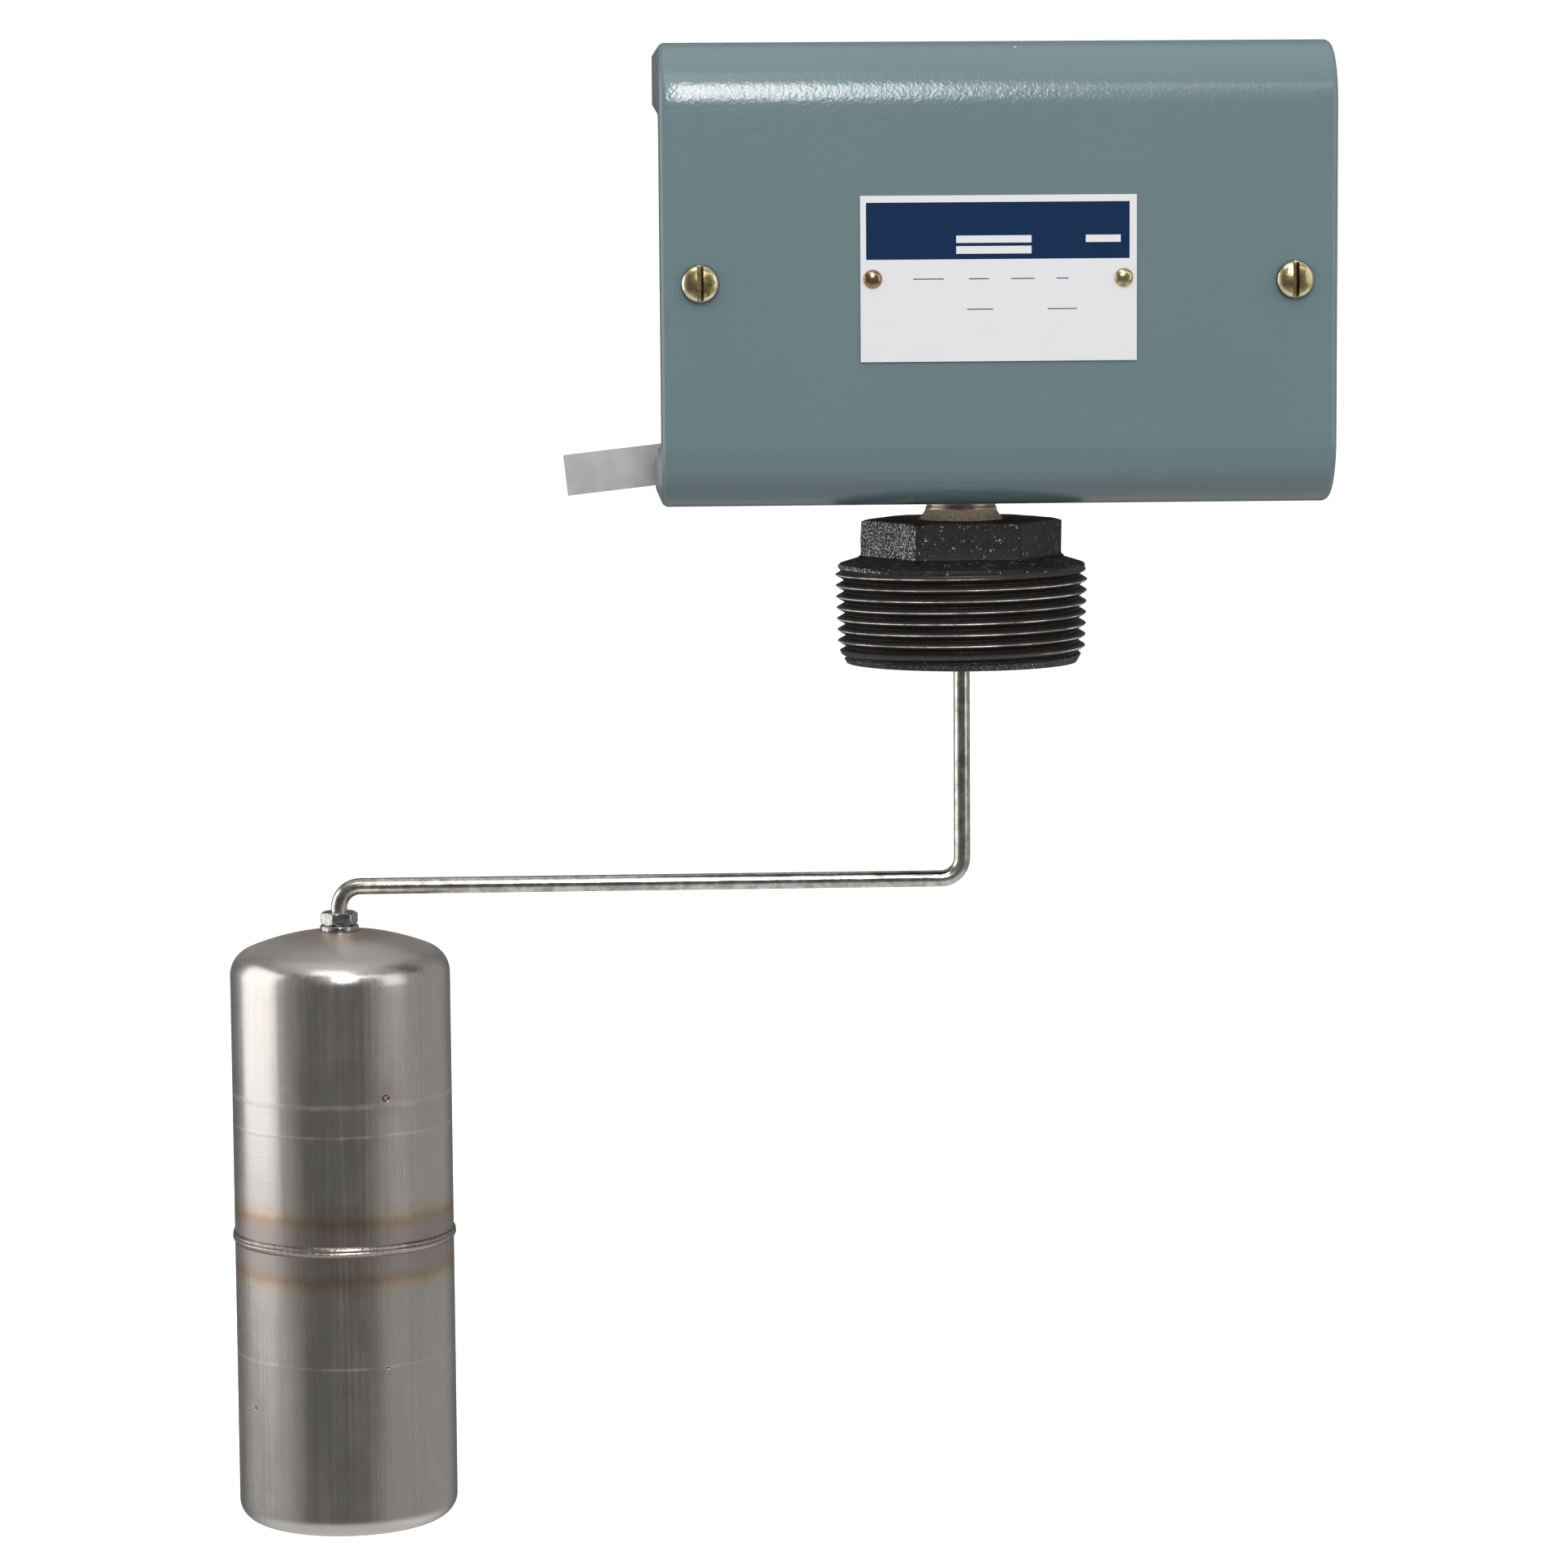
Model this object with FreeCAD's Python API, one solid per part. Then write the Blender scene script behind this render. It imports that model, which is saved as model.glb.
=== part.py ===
import FreeCAD, Part

import math
import os

# Float-operated alternating level switch for a closed tank, in millimetres.
#
# A threaded bushing screws into the tank. It carries a sheet-steel switch housing above, and a
# stainless rod with a welded float hangs through it. The rod turns on two trunnions in the
# bushing's neck, and its upper end works a lever that slides two contact carriers.
#
# Origin: centre of the bushing's lower end face. +Z up, front towards -Y, float arm towards -X.

V = FreeCAD.Vector

# ---------------------------------------------------------------- housing
BOX_WIDTH = 188.5
BOX_CENTRE_X = 7.35
BOX_BOTTOM = 47.0
BOX_HEIGHT = 129.2
FRONT_Y = -46.0
BACK_Y = 40.0
COVER_SHEET = 1.5
COVER_BEND = 18.0            # bends along the top and bottom of the front
COVER_EDGE = 2.0             # bends round both ends
NOTCH_BACK = (57.4, 160.8)   # height of the side notch at the back of the cover
NOTCH_FRONT = (62.5, 156.6)  # and at its front end
NOTCH_FRONT_Y = -33.0
NOTCH_CORNER = 6.0
NIPPLE_SLOT = 12.0           # half width of the slot the nipple passes

BASE_SHEET = 1.6
BASE_GAP = 0.3
BASE_FRONT_Y = -41.6
BASE_FLOOR_FRONT_Y = -29.0
BASE_ROOF_FRONT_Y = 26.0
BASE_BEND = 16.0
BASE_EDGE = 3.0
LIP_REACH = 17.0
LIP_HALF_HEIGHT = 13.0
LUG_LEG = 10.0

CONDUIT_RADIUS = 11.1
CONDUIT_Y = 8.0
CONDUIT_Z = 82.0

COVER_SCREW_X = (-76.0, 89.4)
COVER_SCREW_Z = 109.6
COVER_SCREW_HEAD = 5.3
COVER_SCREW_HEIGHT = 3.4
COVER_SCREW_SHANK = 2.4

PLATE_X = (-31.6, 45.2)
PLATE_Z = (87.6, 133.4)
PLATE_THICK = 0.6
PLATE_RIVET_X = (-28.2, 41.6)
PLATE_RIVET_Z = 110.5
PLATE_RIVET_HEAD = 2.6
PLATE_RIVET_SHANK = 1.2

TAB_WIDTH = 12.0
TAB_THICK = 2.0
TAB_END_X = -113.6
TAB_INNER_X = -60.0
TAB_EDGE_Z = 55.6            # height of the tab's centre line at the housing's left side
TAB_DROOP = 6.3              # degrees
TAB_RIVET_X = (-80.0, -66.0)
TAB_RIVET = 1.6
GROUND_SCREW = (84.0, 62.0)  # x and z of the earthing screw

# ---------------------------------------------------------------- bushing and nipple
THREAD_PITCH = 25.4 / 8
THREAD_TURNS = 8
THREAD_FIRST = 3.05
THREAD_DEPTH = 2.3
THREAD_CREST = 35.55         # crest radius at the lower end face
THREAD_TAPER = 1 / 32        # gain of radius per mm of height
LEAD_RADIUS = 33.2           # the lead chamfer at the lower end
LEAD_SLOPE = 0.55
SHOULDER_Z = 27.9
HEX_ACROSS = 50.8
HEX_BOTTOM = 30.4
HEX_TOP = 41.2
CAVITY = ((25.0, 0.0), (24.2, 13.0), (22.0, 18.0), (17.0, 21.4), (7.0, 22.6))

NECK_BORE = 7.0
NIPPLE_RADIUS = 10.2
NIPPLE_BORE = 8.6
NIPPLE_BOTTOM = 33.2
NIPPLE_TOP = 57.0

# ---------------------------------------------------------------- float arm
PIVOT_Z = 31.0
ROD_RADIUS = 2.38
ROD_TOP = 75.0
ROD_BEND = 6.2
ARM_Z = -63.15
FLOAT_X = -180.4
ROD_END = -82.0
HUB_RADIUS = 6.3
SEAL_WIRE = 1.2
TRUNNION = 2.0
TRUNNION_REACH = 10.0
TRUNNION_PLAY = 0.05

FLOAT_RADIUS = 31.75
FLOAT_WALL = 0.8
FLOAT_TOP = -75.6
FLOAT_BOTTOM = -250.3
WELD_Z = -164.2
TOP_CROWN, TOP_KNUCKLE = 70.0, 8.1
BOTTOM_CROWN, BOTTOM_KNUCKLE = 150.0, 5.6
WELD_GAP = 1.0
WELD_HEIGHT = 3.2
WELD_PROUD = 0.8
BOSS_RADIUS = 5.6
BOSS_STEM = 4.5
BOSS_TOP = -74.2
JAM_NUT_ACROSS = 9.5
JAM_NUT_TOP = -70.4

# ---------------------------------------------------------------- mechanism
PLATE_Y = (14.0, 16.0)
LEVER_Y = (5.5, 8.5)
LEVER_PIVOT_Z = 104.0
LEVER_STUD = 3.0
LEVER_PLAY = 0.04
LEVER_HALF = 6.0
DRIVE_PIN_Z = 78.0
DRIVE_PIN = 2.0
DRIVE_PLAY = 0.35
DRIVE_STUD_Z = 128.0
DRIVE_STUD = 2.5
CARRIER_Z = (122.0, 134.0)
CARRIER_Y = (-9.5, -3.0)
CARRIER_TRAVEL = 7.2
BRIDGES_LEFT = (-26.0, -54.0)
BRIDGES_RIGHT = (38.0, 66.0)
CONTACT_Z = (116.0, 140.0)
BUTTON = 2.2
BUTTON_THICK = 1.2
CLOSED_GAP = 0.3
BLOCK_Z = (108.0, 151.0)
BLOCK_SCREW_Z = (112.0, 147.0)
TERMINAL_SCREW = 1.9
TERMINAL_BACK = 8.0          # from a fixed contact's leg to its terminal screw
SPRING_WIRE = 0.7            # radius of the wire
SPRING_COIL = 6.1            # radius of the coil's centre line
SPRING_POST = (-18.0, 2.0)   # x and radius
ROCKER_Z = 150.0
ROCKER_STUD = 2.5
ROCKER_TILT = -12.0

LEFT_X = BOX_CENTRE_X - BOX_WIDTH / 2
RIGHT_X = BOX_CENTRE_X + BOX_WIDTH / 2
BOX_TOP = BOX_BOTTOM + BOX_HEIGHT
BASE_LEFT = LEFT_X + COVER_SHEET + BASE_GAP
BASE_RIGHT = RIGHT_X - COVER_SHEET - BASE_GAP
BASE_BOTTOM = BOX_BOTTOM + COVER_SHEET + 0.2
BASE_TOP = BOX_TOP - COVER_SHEET - 0.2
FLOOR_TOP = BASE_BOTTOM + BASE_SHEET
FOOT_TOP = FLOOR_TOP + PLATE_Y[1] - PLATE_Y[0]


# ---------------------------------------------------------------- helpers
def block(x, y, z):
    """Box from three (low, high) pairs."""
    return Part.makeBox(x[1] - x[0], y[1] - y[0], z[1] - z[0], V(x[0], y[0], z[0]))


def rod(radius, start, end):
    """Cylinder between two points."""
    a, b = V(*start), V(*end)
    return Part.makeCylinder(radius, (b - a).Length, a, b - a)


def polygon(points):
    return Part.Face(Part.makePolygon([V(*p) for p in list(points) + [points[0]]]))


def turned(profile, x=0.0):
    """Solid of revolution about the vertical axis at x, from a closed (radius, height) profile."""
    face = polygon([(r, 0, z) for r, z in profile])
    return spin(face, x)


def spin(face, x=0.0):
    solid = face.revolve(V(0, 0, 0), V(0, 0, 1), 360)
    return Part.makeSolid(solid) if solid.ShapeType == "Shell" else solid.translated(V(x, 0, 0))


def ring(outer, inner, low, high, x=0.0):
    return turned([(inner, low), (outer, low), (outer, high), (inner, high)], x)


def hexagon(across, low, high, x=0.0, turn=0.0):
    """Hexagonal bar about a vertical axis, with a flat to the front when turn is 0."""
    radius = across / math.sqrt(3)
    corners = []
    for i in range(6):
        angle = math.radians(60 * i + turn)
        corners.append((x + radius * math.cos(angle), radius * math.sin(angle), low))
    return polygon(corners).extrude(V(0, 0, high - low))


def edges_on(shape, test):
    """Edges whose every vertex and middle pass a test of position."""
    found = []
    for edge in shape.Edges:
        points = [v.Point for v in edge.Vertexes] + [edge.valueAt(sum(edge.ParameterRange) / 2)]
        if all(test(p) for p in points):
            found.append(edge)
    return found


def near(a, b):
    return abs(a - b) < 0.01


def group(solids):
    return Part.makeCompound(solids)


# ---------------------------------------------------------------- housing
def bent_block(x, y, z, bend, edge):
    """Block bent along the top and bottom of its front and round both ends, square at the back."""
    body = block(x, y, z)
    fronts = edges_on(body, lambda p: near(p.y, y[0]) and (near(p.z, z[0]) or near(p.z, z[1])))
    body = body.makeFillet(bend, fronts)
    ends = edges_on(body, lambda p: near(p.x, x[0]) or near(p.x, x[1]))
    return body.makeFillet(edge, [e for e in ends if not lies_at_back(e, y[1])])


def lies_at_back(edge, back):
    return all(near(v.Point.y, back) for v in edge.Vertexes)


def side_notch(x):
    """Wedge-ended window that leaves the cover's side only as a flange at the front."""
    outline = polygon([
        (x[0], NOTCH_FRONT_Y, NOTCH_FRONT[0]),
        (x[0], NOTCH_FRONT_Y, NOTCH_FRONT[1]),
        (x[0], BACK_Y + 1, NOTCH_BACK[1]),
        (x[0], BACK_Y + 1, NOTCH_BACK[0]),
    ])
    cutter = outline.extrude(V(x[1] - x[0], 0, 0))
    corners = edges_on(cutter, lambda p: near(p.y, NOTCH_FRONT_Y))
    along = [e for e in corners if abs(e.tangentAt(e.FirstParameter).x) > 0.9]
    return cutter.makeFillet(NOTCH_CORNER, along)


def make_cover():
    t = COVER_SHEET
    cover = bent_block((LEFT_X, RIGHT_X), (FRONT_Y, BACK_Y), (BOX_BOTTOM, BOX_TOP), COVER_BEND, COVER_EDGE)
    room = bent_block((LEFT_X + t, RIGHT_X - t), (FRONT_Y + t, BACK_Y + 10),
                      (BOX_BOTTOM + t, BOX_TOP - t), COVER_BEND - t, COVER_EDGE - t)
    cover = cover.cut(room)
    for side in ((LEFT_X - 1, LEFT_X + COVER_EDGE), (RIGHT_X - COVER_EDGE, RIGHT_X + 1)):
        cover = cover.cut(side_notch(side))
    floor = (BOX_BOTTOM - 1, BOX_BOTTOM + COVER_SHEET + 0.1)
    slot = rod(NIPPLE_SLOT, (0, 0, floor[0]), (0, 0, floor[1]))
    slot = slot.fuse(block((-NIPPLE_SLOT, NIPPLE_SLOT), (0, BACK_Y + 1), floor))
    cover = cover.cut(slot)
    for x in COVER_SCREW_X:
        hole = rod(COVER_SCREW_SHANK + 0.4, (x, FRONT_Y - 1, COVER_SCREW_Z),
                   (x, FRONT_Y + 5, COVER_SCREW_Z))
        cover = cover.cut(hole)
    for x in PLATE_RIVET_X:
        cover = cover.cut(rod(PLATE_RIVET_SHANK, (x, FRONT_Y - 1, PLATE_RIVET_Z),
                              (x, FRONT_Y + 2, PLATE_RIVET_Z)))
    return cover


def make_tray():
    """Housing base as a whole: back, floor, two end walls with conduit holes, short roof flange."""
    x, z, t = (BASE_LEFT, BASE_RIGHT), (BASE_BOTTOM, BASE_TOP), BASE_SHEET
    outer = bent_block(x, (BASE_FRONT_Y, BACK_Y), z, BASE_BEND, BASE_EDGE)
    room = block((x[0] + t, x[1] - t), (FRONT_Y, BACK_Y - t), (z[0] + t, z[1] - t))
    room = room.makeFillet(BASE_EDGE - t, [e for e in room.Edges if near(e.Length, BACK_Y - t - FRONT_Y)])
    tray = outer.cut(room)
    tray = tray.cut(block((x[0] + t, x[1] - t), (FRONT_Y, BASE_FLOOR_FRONT_Y), (z[0] - 1, z[0] + 20)))
    tray = tray.cut(block((x[0] + t, x[1] - t), (FRONT_Y, BASE_ROOF_FRONT_Y), (z[1] - 20, z[1] + 1)))
    tray = tray.cut(rod(CONDUIT_RADIUS, (x[0] - 1, CONDUIT_Y, CONDUIT_Z), (x[1] + 1, CONDUIT_Y, CONDUIT_Z)))
    tray = tray.cut(rod(NIPPLE_RADIUS, (0, 0, z[0] - 1), (0, 0, FLOOR_TOP + 1)))
    for rivet_x in TAB_RIVET_X:
        rivet_z = tab_centre(rivet_x)
        tray = tray.cut(rod(TAB_RIVET, (rivet_x, BACK_Y - t - 1, rivet_z), (rivet_x, BACK_Y + 1, rivet_z)))
    screw_x, screw_z = GROUND_SCREW
    tray = tray.cut(rod(2.0, (screw_x, BACK_Y - t - 1, screw_z), (screw_x, BACK_Y + 1, screw_z)))
    return tray.removeSplitter()


def tray_between(left, right):
    """The part of the tray between two upright planes; its end plates are welded to its channel."""
    return make_tray().common(block((left, right), (FRONT_Y, BACK_Y + 1), (BASE_BOTTOM - 1, BASE_TOP + 1)))


def make_lugs():
    """Angle lugs welded inside the end plates, tapped for the cover screws."""
    t = BASE_SHEET
    y, z = BASE_FRONT_Y, (COVER_SCREW_Z - LIP_HALF_HEIGHT, COVER_SCREW_Z + LIP_HALF_HEIGHT)
    lugs = []
    walls = ((BASE_LEFT + t, 1), (BASE_RIGHT - t, -1))
    for (wall, inward), screw_x in zip(walls, COVER_SCREW_X):
        reach, leg = sorted((wall, wall + inward * LIP_REACH)), sorted((wall, wall + inward * t))
        lug = block(reach, (y, y + t), z).fuse(block(leg, (y, y + LUG_LEG), z))
        lugs.append(lug.cut(rod(COVER_SCREW_SHANK, (screw_x, FRONT_Y, COVER_SCREW_Z),
                                (screw_x, y + t + 1, COVER_SCREW_Z))).removeSplitter())
    return group(lugs)


def slotted_screw(x):
    """Round-headed screw with a straight upright slot, facing the front."""
    rim = COVER_SCREW_HEIGHT * 0.45
    crown = V(0, 0, COVER_SCREW_HEIGHT)
    side = Part.LineSegment(V(COVER_SCREW_HEAD, 0, 0), V(COVER_SCREW_HEAD, 0, rim)).toShape()
    dome = Part.Arc(V(COVER_SCREW_HEAD, 0, rim),
                    V(COVER_SCREW_HEAD * 0.62, 0, rim + (COVER_SCREW_HEIGHT - rim) * 0.72),
                    crown).toShape()
    axis = Part.LineSegment(crown, V(0, 0, 0)).toShape()
    foot = Part.LineSegment(V(0, 0, 0), V(COVER_SCREW_HEAD, 0, 0)).toShape()
    head = spin(Part.Face(Part.Wire([side, dome, axis, foot])))
    head = head.cut(block((-0.85, 0.85), (-7, 7), (COVER_SCREW_HEIGHT - 1.8, COVER_SCREW_HEIGHT + 1)))
    screw = head.fuse(rod(COVER_SCREW_SHANK, (0, 0, -8.0), (0, 0, 0.1))).removeSplitter()
    screw.rotate(V(0, 0, 0), V(1, 0, 0), 90)
    return screw.translated(V(x, FRONT_Y, COVER_SCREW_Z))


def make_nameplate():
    plate = block(PLATE_X, (FRONT_Y - PLATE_THICK, FRONT_Y), PLATE_Z)
    corners = [e for e in plate.Edges if near(e.Length, PLATE_THICK)]
    plate = plate.makeFillet(1.0, corners)
    for x in PLATE_RIVET_X:
        plate = plate.cut(rod(PLATE_RIVET_SHANK, (x, FRONT_Y - 2, PLATE_RIVET_Z),
                              (x, FRONT_Y + 1, PLATE_RIVET_Z)))
    return plate


def plate_rivet(x):
    head = Part.makeSphere(PLATE_RIVET_HEAD * 1.25, V(0, 0, -PLATE_RIVET_HEAD * 0.75))
    head = head.common(Part.makeCylinder(PLATE_RIVET_HEAD, 3, V(0, 0, 0)))
    shank = rod(PLATE_RIVET_SHANK, (0, 0, -PLATE_THICK - COVER_SHEET), (0, 0, 0.1))
    rivet = head.fuse(shank).removeSplitter()
    rivet.rotate(V(0, 0, 0), V(1, 0, 0), 90)
    return rivet.translated(V(x, FRONT_Y - PLATE_THICK, PLATE_RIVET_Z))


def tab_centre(x):
    """Height of the drooping tab's centre line."""
    return TAB_EDGE_Z + (x - LEFT_X) * math.tan(math.radians(TAB_DROOP))


def make_side_tab():
    """Flat steel strap on the back of the base that reaches out past the left side."""
    tab = block((TAB_END_X, TAB_INNER_X), (BACK_Y, BACK_Y + TAB_THICK),
                (TAB_EDGE_Z - TAB_WIDTH / 2, TAB_EDGE_Z + TAB_WIDTH / 2))
    tab.rotate(V(LEFT_X, 0, TAB_EDGE_Z), V(0, 1, 0), -TAB_DROOP)
    for x in TAB_RIVET_X:
        z = tab_centre(x)
        tab = tab.cut(rod(TAB_RIVET, (x, BACK_Y - 1, z), (x, BACK_Y + TAB_THICK + 1, z)))
    return tab


def tab_rivet(x):
    """Domed head on the tab, shank through both sheets and a flat head inside."""
    z, face = tab_centre(x), BACK_Y + TAB_THICK
    head = Part.makeSphere(3.4, V(x, face - 1.6, z))
    head = head.common(block((x - 5, x + 5), (face, face + 3), (z - 5, z + 5)))
    inside = BACK_Y - BASE_SHEET
    rivet = head.fuse(rod(TAB_RIVET, (x, inside - 0.1, z), (x, face + 0.1, z)))
    return rivet.fuse(rod(2.8, (x, inside - 0.9, z), (x, inside, z))).removeSplitter()


def make_ground_screw():
    """Hexagon-headed earthing screw with its washer, through the base's back."""
    x, z = GROUND_SCREW
    y = BACK_Y - BASE_SHEET
    head = hexagon(8.0, 0, 3.2)
    head.rotate(V(0, 0, 0), V(1, 0, 0), 90)
    screw = rod(5.5, (x, y, z), (x, y - 1.2, z)).fuse(head.translated(V(x, y - 1.2, z)))
    return screw.fuse(rod(2.0, (x, y - 0.1, z), (x, BACK_Y + 1.2, z))).removeSplitter()


# ---------------------------------------------------------------- bushing and nipple
def thread_profile():
    """Closed ridges with the pitch, depth and taper of the pipe thread."""
    points = [(LEAD_RADIUS, 0.0)]
    for turn in range(THREAD_TURNS):
        z = THREAD_FIRST + turn * THREAD_PITCH
        lead = LEAD_RADIUS + LEAD_SLOPE * z
        crest = min(THREAD_CREST + THREAD_TAPER * z, lead)
        root = THREAD_CREST + THREAD_TAPER * z - THREAD_DEPTH
        if turn:
            points.append((root, z - THREAD_PITCH / 2))
        points += [(crest, z - 0.15), (crest, z + 0.15)]
    end = THREAD_FIRST + (THREAD_TURNS - 0.5) * THREAD_PITCH
    points.append((THREAD_CREST - THREAD_DEPTH + THREAD_TAPER * end, end))
    return points


def make_bushing():
    """Hexagon bushing, cored out below, with a neck that seats the trunnions and the nipple."""
    flare = [(35.5, SHOULDER_Z - 0.6), (35.6, SHOULDER_Z), (35.0, SHOULDER_Z + 0.7),
             (29.0, HEX_BOTTOM), (0, HEX_BOTTOM), (0, 0)]
    threaded = turned(thread_profile() + flare)
    bar = hexagon(HEX_ACROSS, SHOULDER_Z, HEX_TOP)
    corner = HEX_ACROSS / math.sqrt(3)
    chamfer = turned([(0, SHOULDER_Z), (corner + 1, SHOULDER_Z), (corner + 1, HEX_TOP - 1.0),
                      (HEX_ACROSS / 2 + 1.6, HEX_TOP), (0, HEX_TOP)])
    body = threaded.fuse(bar.common(chamfer))
    hollow = turned([(0, -1), (CAVITY[0][0], -1)] + list(CAVITY) +
                    [(NECK_BORE, NIPPLE_BOTTOM), (NIPPLE_RADIUS, NIPPLE_BOTTOM),
                     (NIPPLE_RADIUS, HEX_TOP + 1), (0, HEX_TOP + 1)])
    body = body.cut(hollow)
    seat = TRUNNION + TRUNNION_PLAY
    reach = TRUNNION_REACH + 0.1
    body = body.cut(rod(seat, (0, -reach, PIVOT_Z), (0, reach, PIVOT_Z)))
    body = body.cut(block((-seat, seat), (-reach, reach), (PIVOT_Z, NIPPLE_BOTTOM)))
    radius, z = seal_centre()
    return body.cut(ring(radius + SEAL_WIRE + 0.05, NECK_BORE - 1, z - SEAL_WIRE, z + SEAL_WIRE + 0.1))


def seal_centre():
    """Radius and height of the seal's centre line, under the ball's equator."""
    reach, low = HUB_RADIUS + 0.3 + SEAL_WIRE, math.radians(35)
    return reach * math.cos(low), PIVOT_Z - reach * math.sin(low)


def make_hub_seal():
    """Rubber ring in its groove in the neck, just clear of the ball it seals."""
    radius, z = seal_centre()
    return Part.makeTorus(radius, SEAL_WIRE, V(0, 0, z))


def make_nipple():
    r = NIPPLE_RADIUS
    return turned([(NIPPLE_BORE, NIPPLE_BOTTOM), (r, NIPPLE_BOTTOM), (r, 45.7), (r - 0.6, 46.0),
                   (r - 0.6, 46.5), (r, 46.8), (r, NIPPLE_TOP - 0.6), (r - 0.6, NIPPLE_TOP),
                   (NIPPLE_BORE, NIPPLE_TOP)])


def make_braze_ring():
    r = NIPPLE_RADIUS
    return turned([(r, HEX_TOP), (r + 2.1, HEX_TOP), (r + 1.7, HEX_TOP + 0.8), (r + 0.9, HEX_TOP + 1.7),
                   (r + 0.5, HEX_TOP + 2.7), (r, HEX_TOP + 3.3)])


def make_locknut():
    nut = hexagon(28.0, FOOT_TOP, FOOT_TOP + 3.6)
    return nut.cut(rod(NIPPLE_RADIUS, (0, 0, FOOT_TOP - 1), (0, 0, FOOT_TOP + 5)))


# ---------------------------------------------------------------- float arm
def make_float_rod():
    """Round bar bent twice: down from the mechanism, along to the float, down into its boss."""
    b = ROD_BEND
    s = b * (1 - math.sqrt(0.5))
    path = Part.Wire([
        Part.LineSegment(V(0, 0, ROD_TOP), V(0, 0, ARM_Z + b)).toShape(),
        Part.Arc(V(0, 0, ARM_Z + b), V(-s, 0, ARM_Z + s), V(-b, 0, ARM_Z)).toShape(),
        Part.LineSegment(V(-b, 0, ARM_Z), V(FLOAT_X + b, 0, ARM_Z)).toShape(),
        Part.Arc(V(FLOAT_X + b, 0, ARM_Z), V(FLOAT_X + s, 0, ARM_Z - s),
                 V(FLOAT_X, 0, ARM_Z - b)).toShape(),
        Part.LineSegment(V(FLOAT_X, 0, ARM_Z - b), V(FLOAT_X, 0, ROD_END)).toShape(),
    ])
    section = Part.Wire(Part.makeCircle(ROD_RADIUS, V(0, 0, ROD_TOP), V(0, 0, -1)))
    return path.makePipeShell([section], True, False)


def make_pivot_hub():
    ball = Part.makeSphere(HUB_RADIUS, V(0, 0, PIVOT_Z))
    ball = ball.common(block((-7, 7), (-7, 7), (PIVOT_Z - 5.4, PIVOT_Z + 5.4)))
    ball = ball.cut(rod(ROD_RADIUS, (0, 0, PIVOT_Z - 8), (0, 0, PIVOT_Z + 8)))
    for side in (-1, 1):
        ball = ball.cut(rod(TRUNNION, (0, side * 3.0, PIVOT_Z), (0, side * 8.0, PIVOT_Z)))
    return ball


def make_trunnions():
    return group([rod(TRUNNION, (0, side * 3.0, PIVOT_Z), (0, side * TRUNNION_REACH, PIVOT_Z))
                  for side in (-1, 1)])


def make_stem_head():
    """Turned collar on the rod's upper end that carries the drive pin."""
    body = turned([(0, 70), (4.0, 70), (4.5, 70.5), (4.5, 81.5), (4.0, 82), (0, 82)])
    body = body.cut(rod(ROD_RADIUS, (0, 0, 69), (0, 0, ROD_TOP)))
    return body.cut(rod(DRIVE_PIN, (0, -6, DRIVE_PIN_Z), (0, 6, DRIVE_PIN_Z)))


def cup_section(apex, rim, crown, knuckle, up):
    """Closed profile of a drawn cup: shallow crown, knuckle and straight wall of one thickness."""
    def surface(inset):
        turn = math.asin((FLOAT_RADIUS - knuckle) / (crown - knuckle))
        small = V(FLOAT_RADIUS - knuckle, 0, apex - up * (crown - (crown - knuckle) * math.cos(turn)))
        big_r, small_r = crown - inset, knuckle - inset

        def on_crown(a):
            return V(big_r * math.sin(a), 0, apex - up * crown + up * big_r * math.cos(a))

        def on_knuckle(a):
            return small + V(small_r * math.sin(a), 0, up * small_r * math.cos(a))

        end = V(FLOAT_RADIUS - inset, 0, rim)
        return [Part.Arc(on_crown(0), on_crown(turn / 2), on_crown(turn)).toShape(),
                Part.Arc(on_crown(turn), on_knuckle((turn + math.pi / 2) / 2),
                         on_knuckle(math.pi / 2)).toShape(),
                Part.LineSegment(on_knuckle(math.pi / 2), end).toShape()]

    outer, inner = surface(0.0), surface(FLOAT_WALL)
    axis = Part.LineSegment(V(0, 0, apex), V(0, 0, apex - up * FLOAT_WALL)).toShape()
    lip = Part.LineSegment(V(FLOAT_RADIUS, 0, rim), V(FLOAT_RADIUS - FLOAT_WALL, 0, rim)).toShape()
    return Part.Face(Part.Wire(Part.__sortEdges__(outer + [lip] + inner + [axis])))


def crown_height(radius):
    """Height of the float's top crown at a radius."""
    return FLOAT_TOP - TOP_CROWN + math.sqrt(TOP_CROWN ** 2 - radius ** 2)


def make_upper_shell():
    shell = spin(cup_section(FLOAT_TOP, WELD_Z + WELD_GAP / 2, TOP_CROWN, TOP_KNUCKLE, 1), FLOAT_X)
    return shell.cut(rod(BOSS_STEM, (FLOAT_X, 0, FLOAT_TOP - 3), (FLOAT_X, 0, FLOAT_TOP + 1)))


def make_lower_shell():
    return spin(cup_section(FLOAT_BOTTOM, WELD_Z - WELD_GAP / 2, BOTTOM_CROWN, BOTTOM_KNUCKLE, -1), FLOAT_X)


def make_weld_bead():
    """Root between the two rims and a crowned cap that stands proud of the walls."""
    r, h, g = FLOAT_RADIUS, WELD_HEIGHT / 2, WELD_GAP / 2
    corners = [(r, g), (r - FLOAT_WALL, g), (r - FLOAT_WALL, -g), (r, -g), (r, -h)]
    points = [V(radius, 0, WELD_Z + z) for radius, z in corners]
    edges = [Part.LineSegment(a, b).toShape() for a, b in zip(points, points[1:])]
    cap = Part.Arc(points[-1], V(r + WELD_PROUD, 0, WELD_Z), V(r, 0, WELD_Z + h)).toShape()
    close = Part.LineSegment(V(r, 0, WELD_Z + h), points[0]).toShape()
    return spin(Part.Face(Part.Wire(edges + [cap, close])), FLOAT_X)


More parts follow.
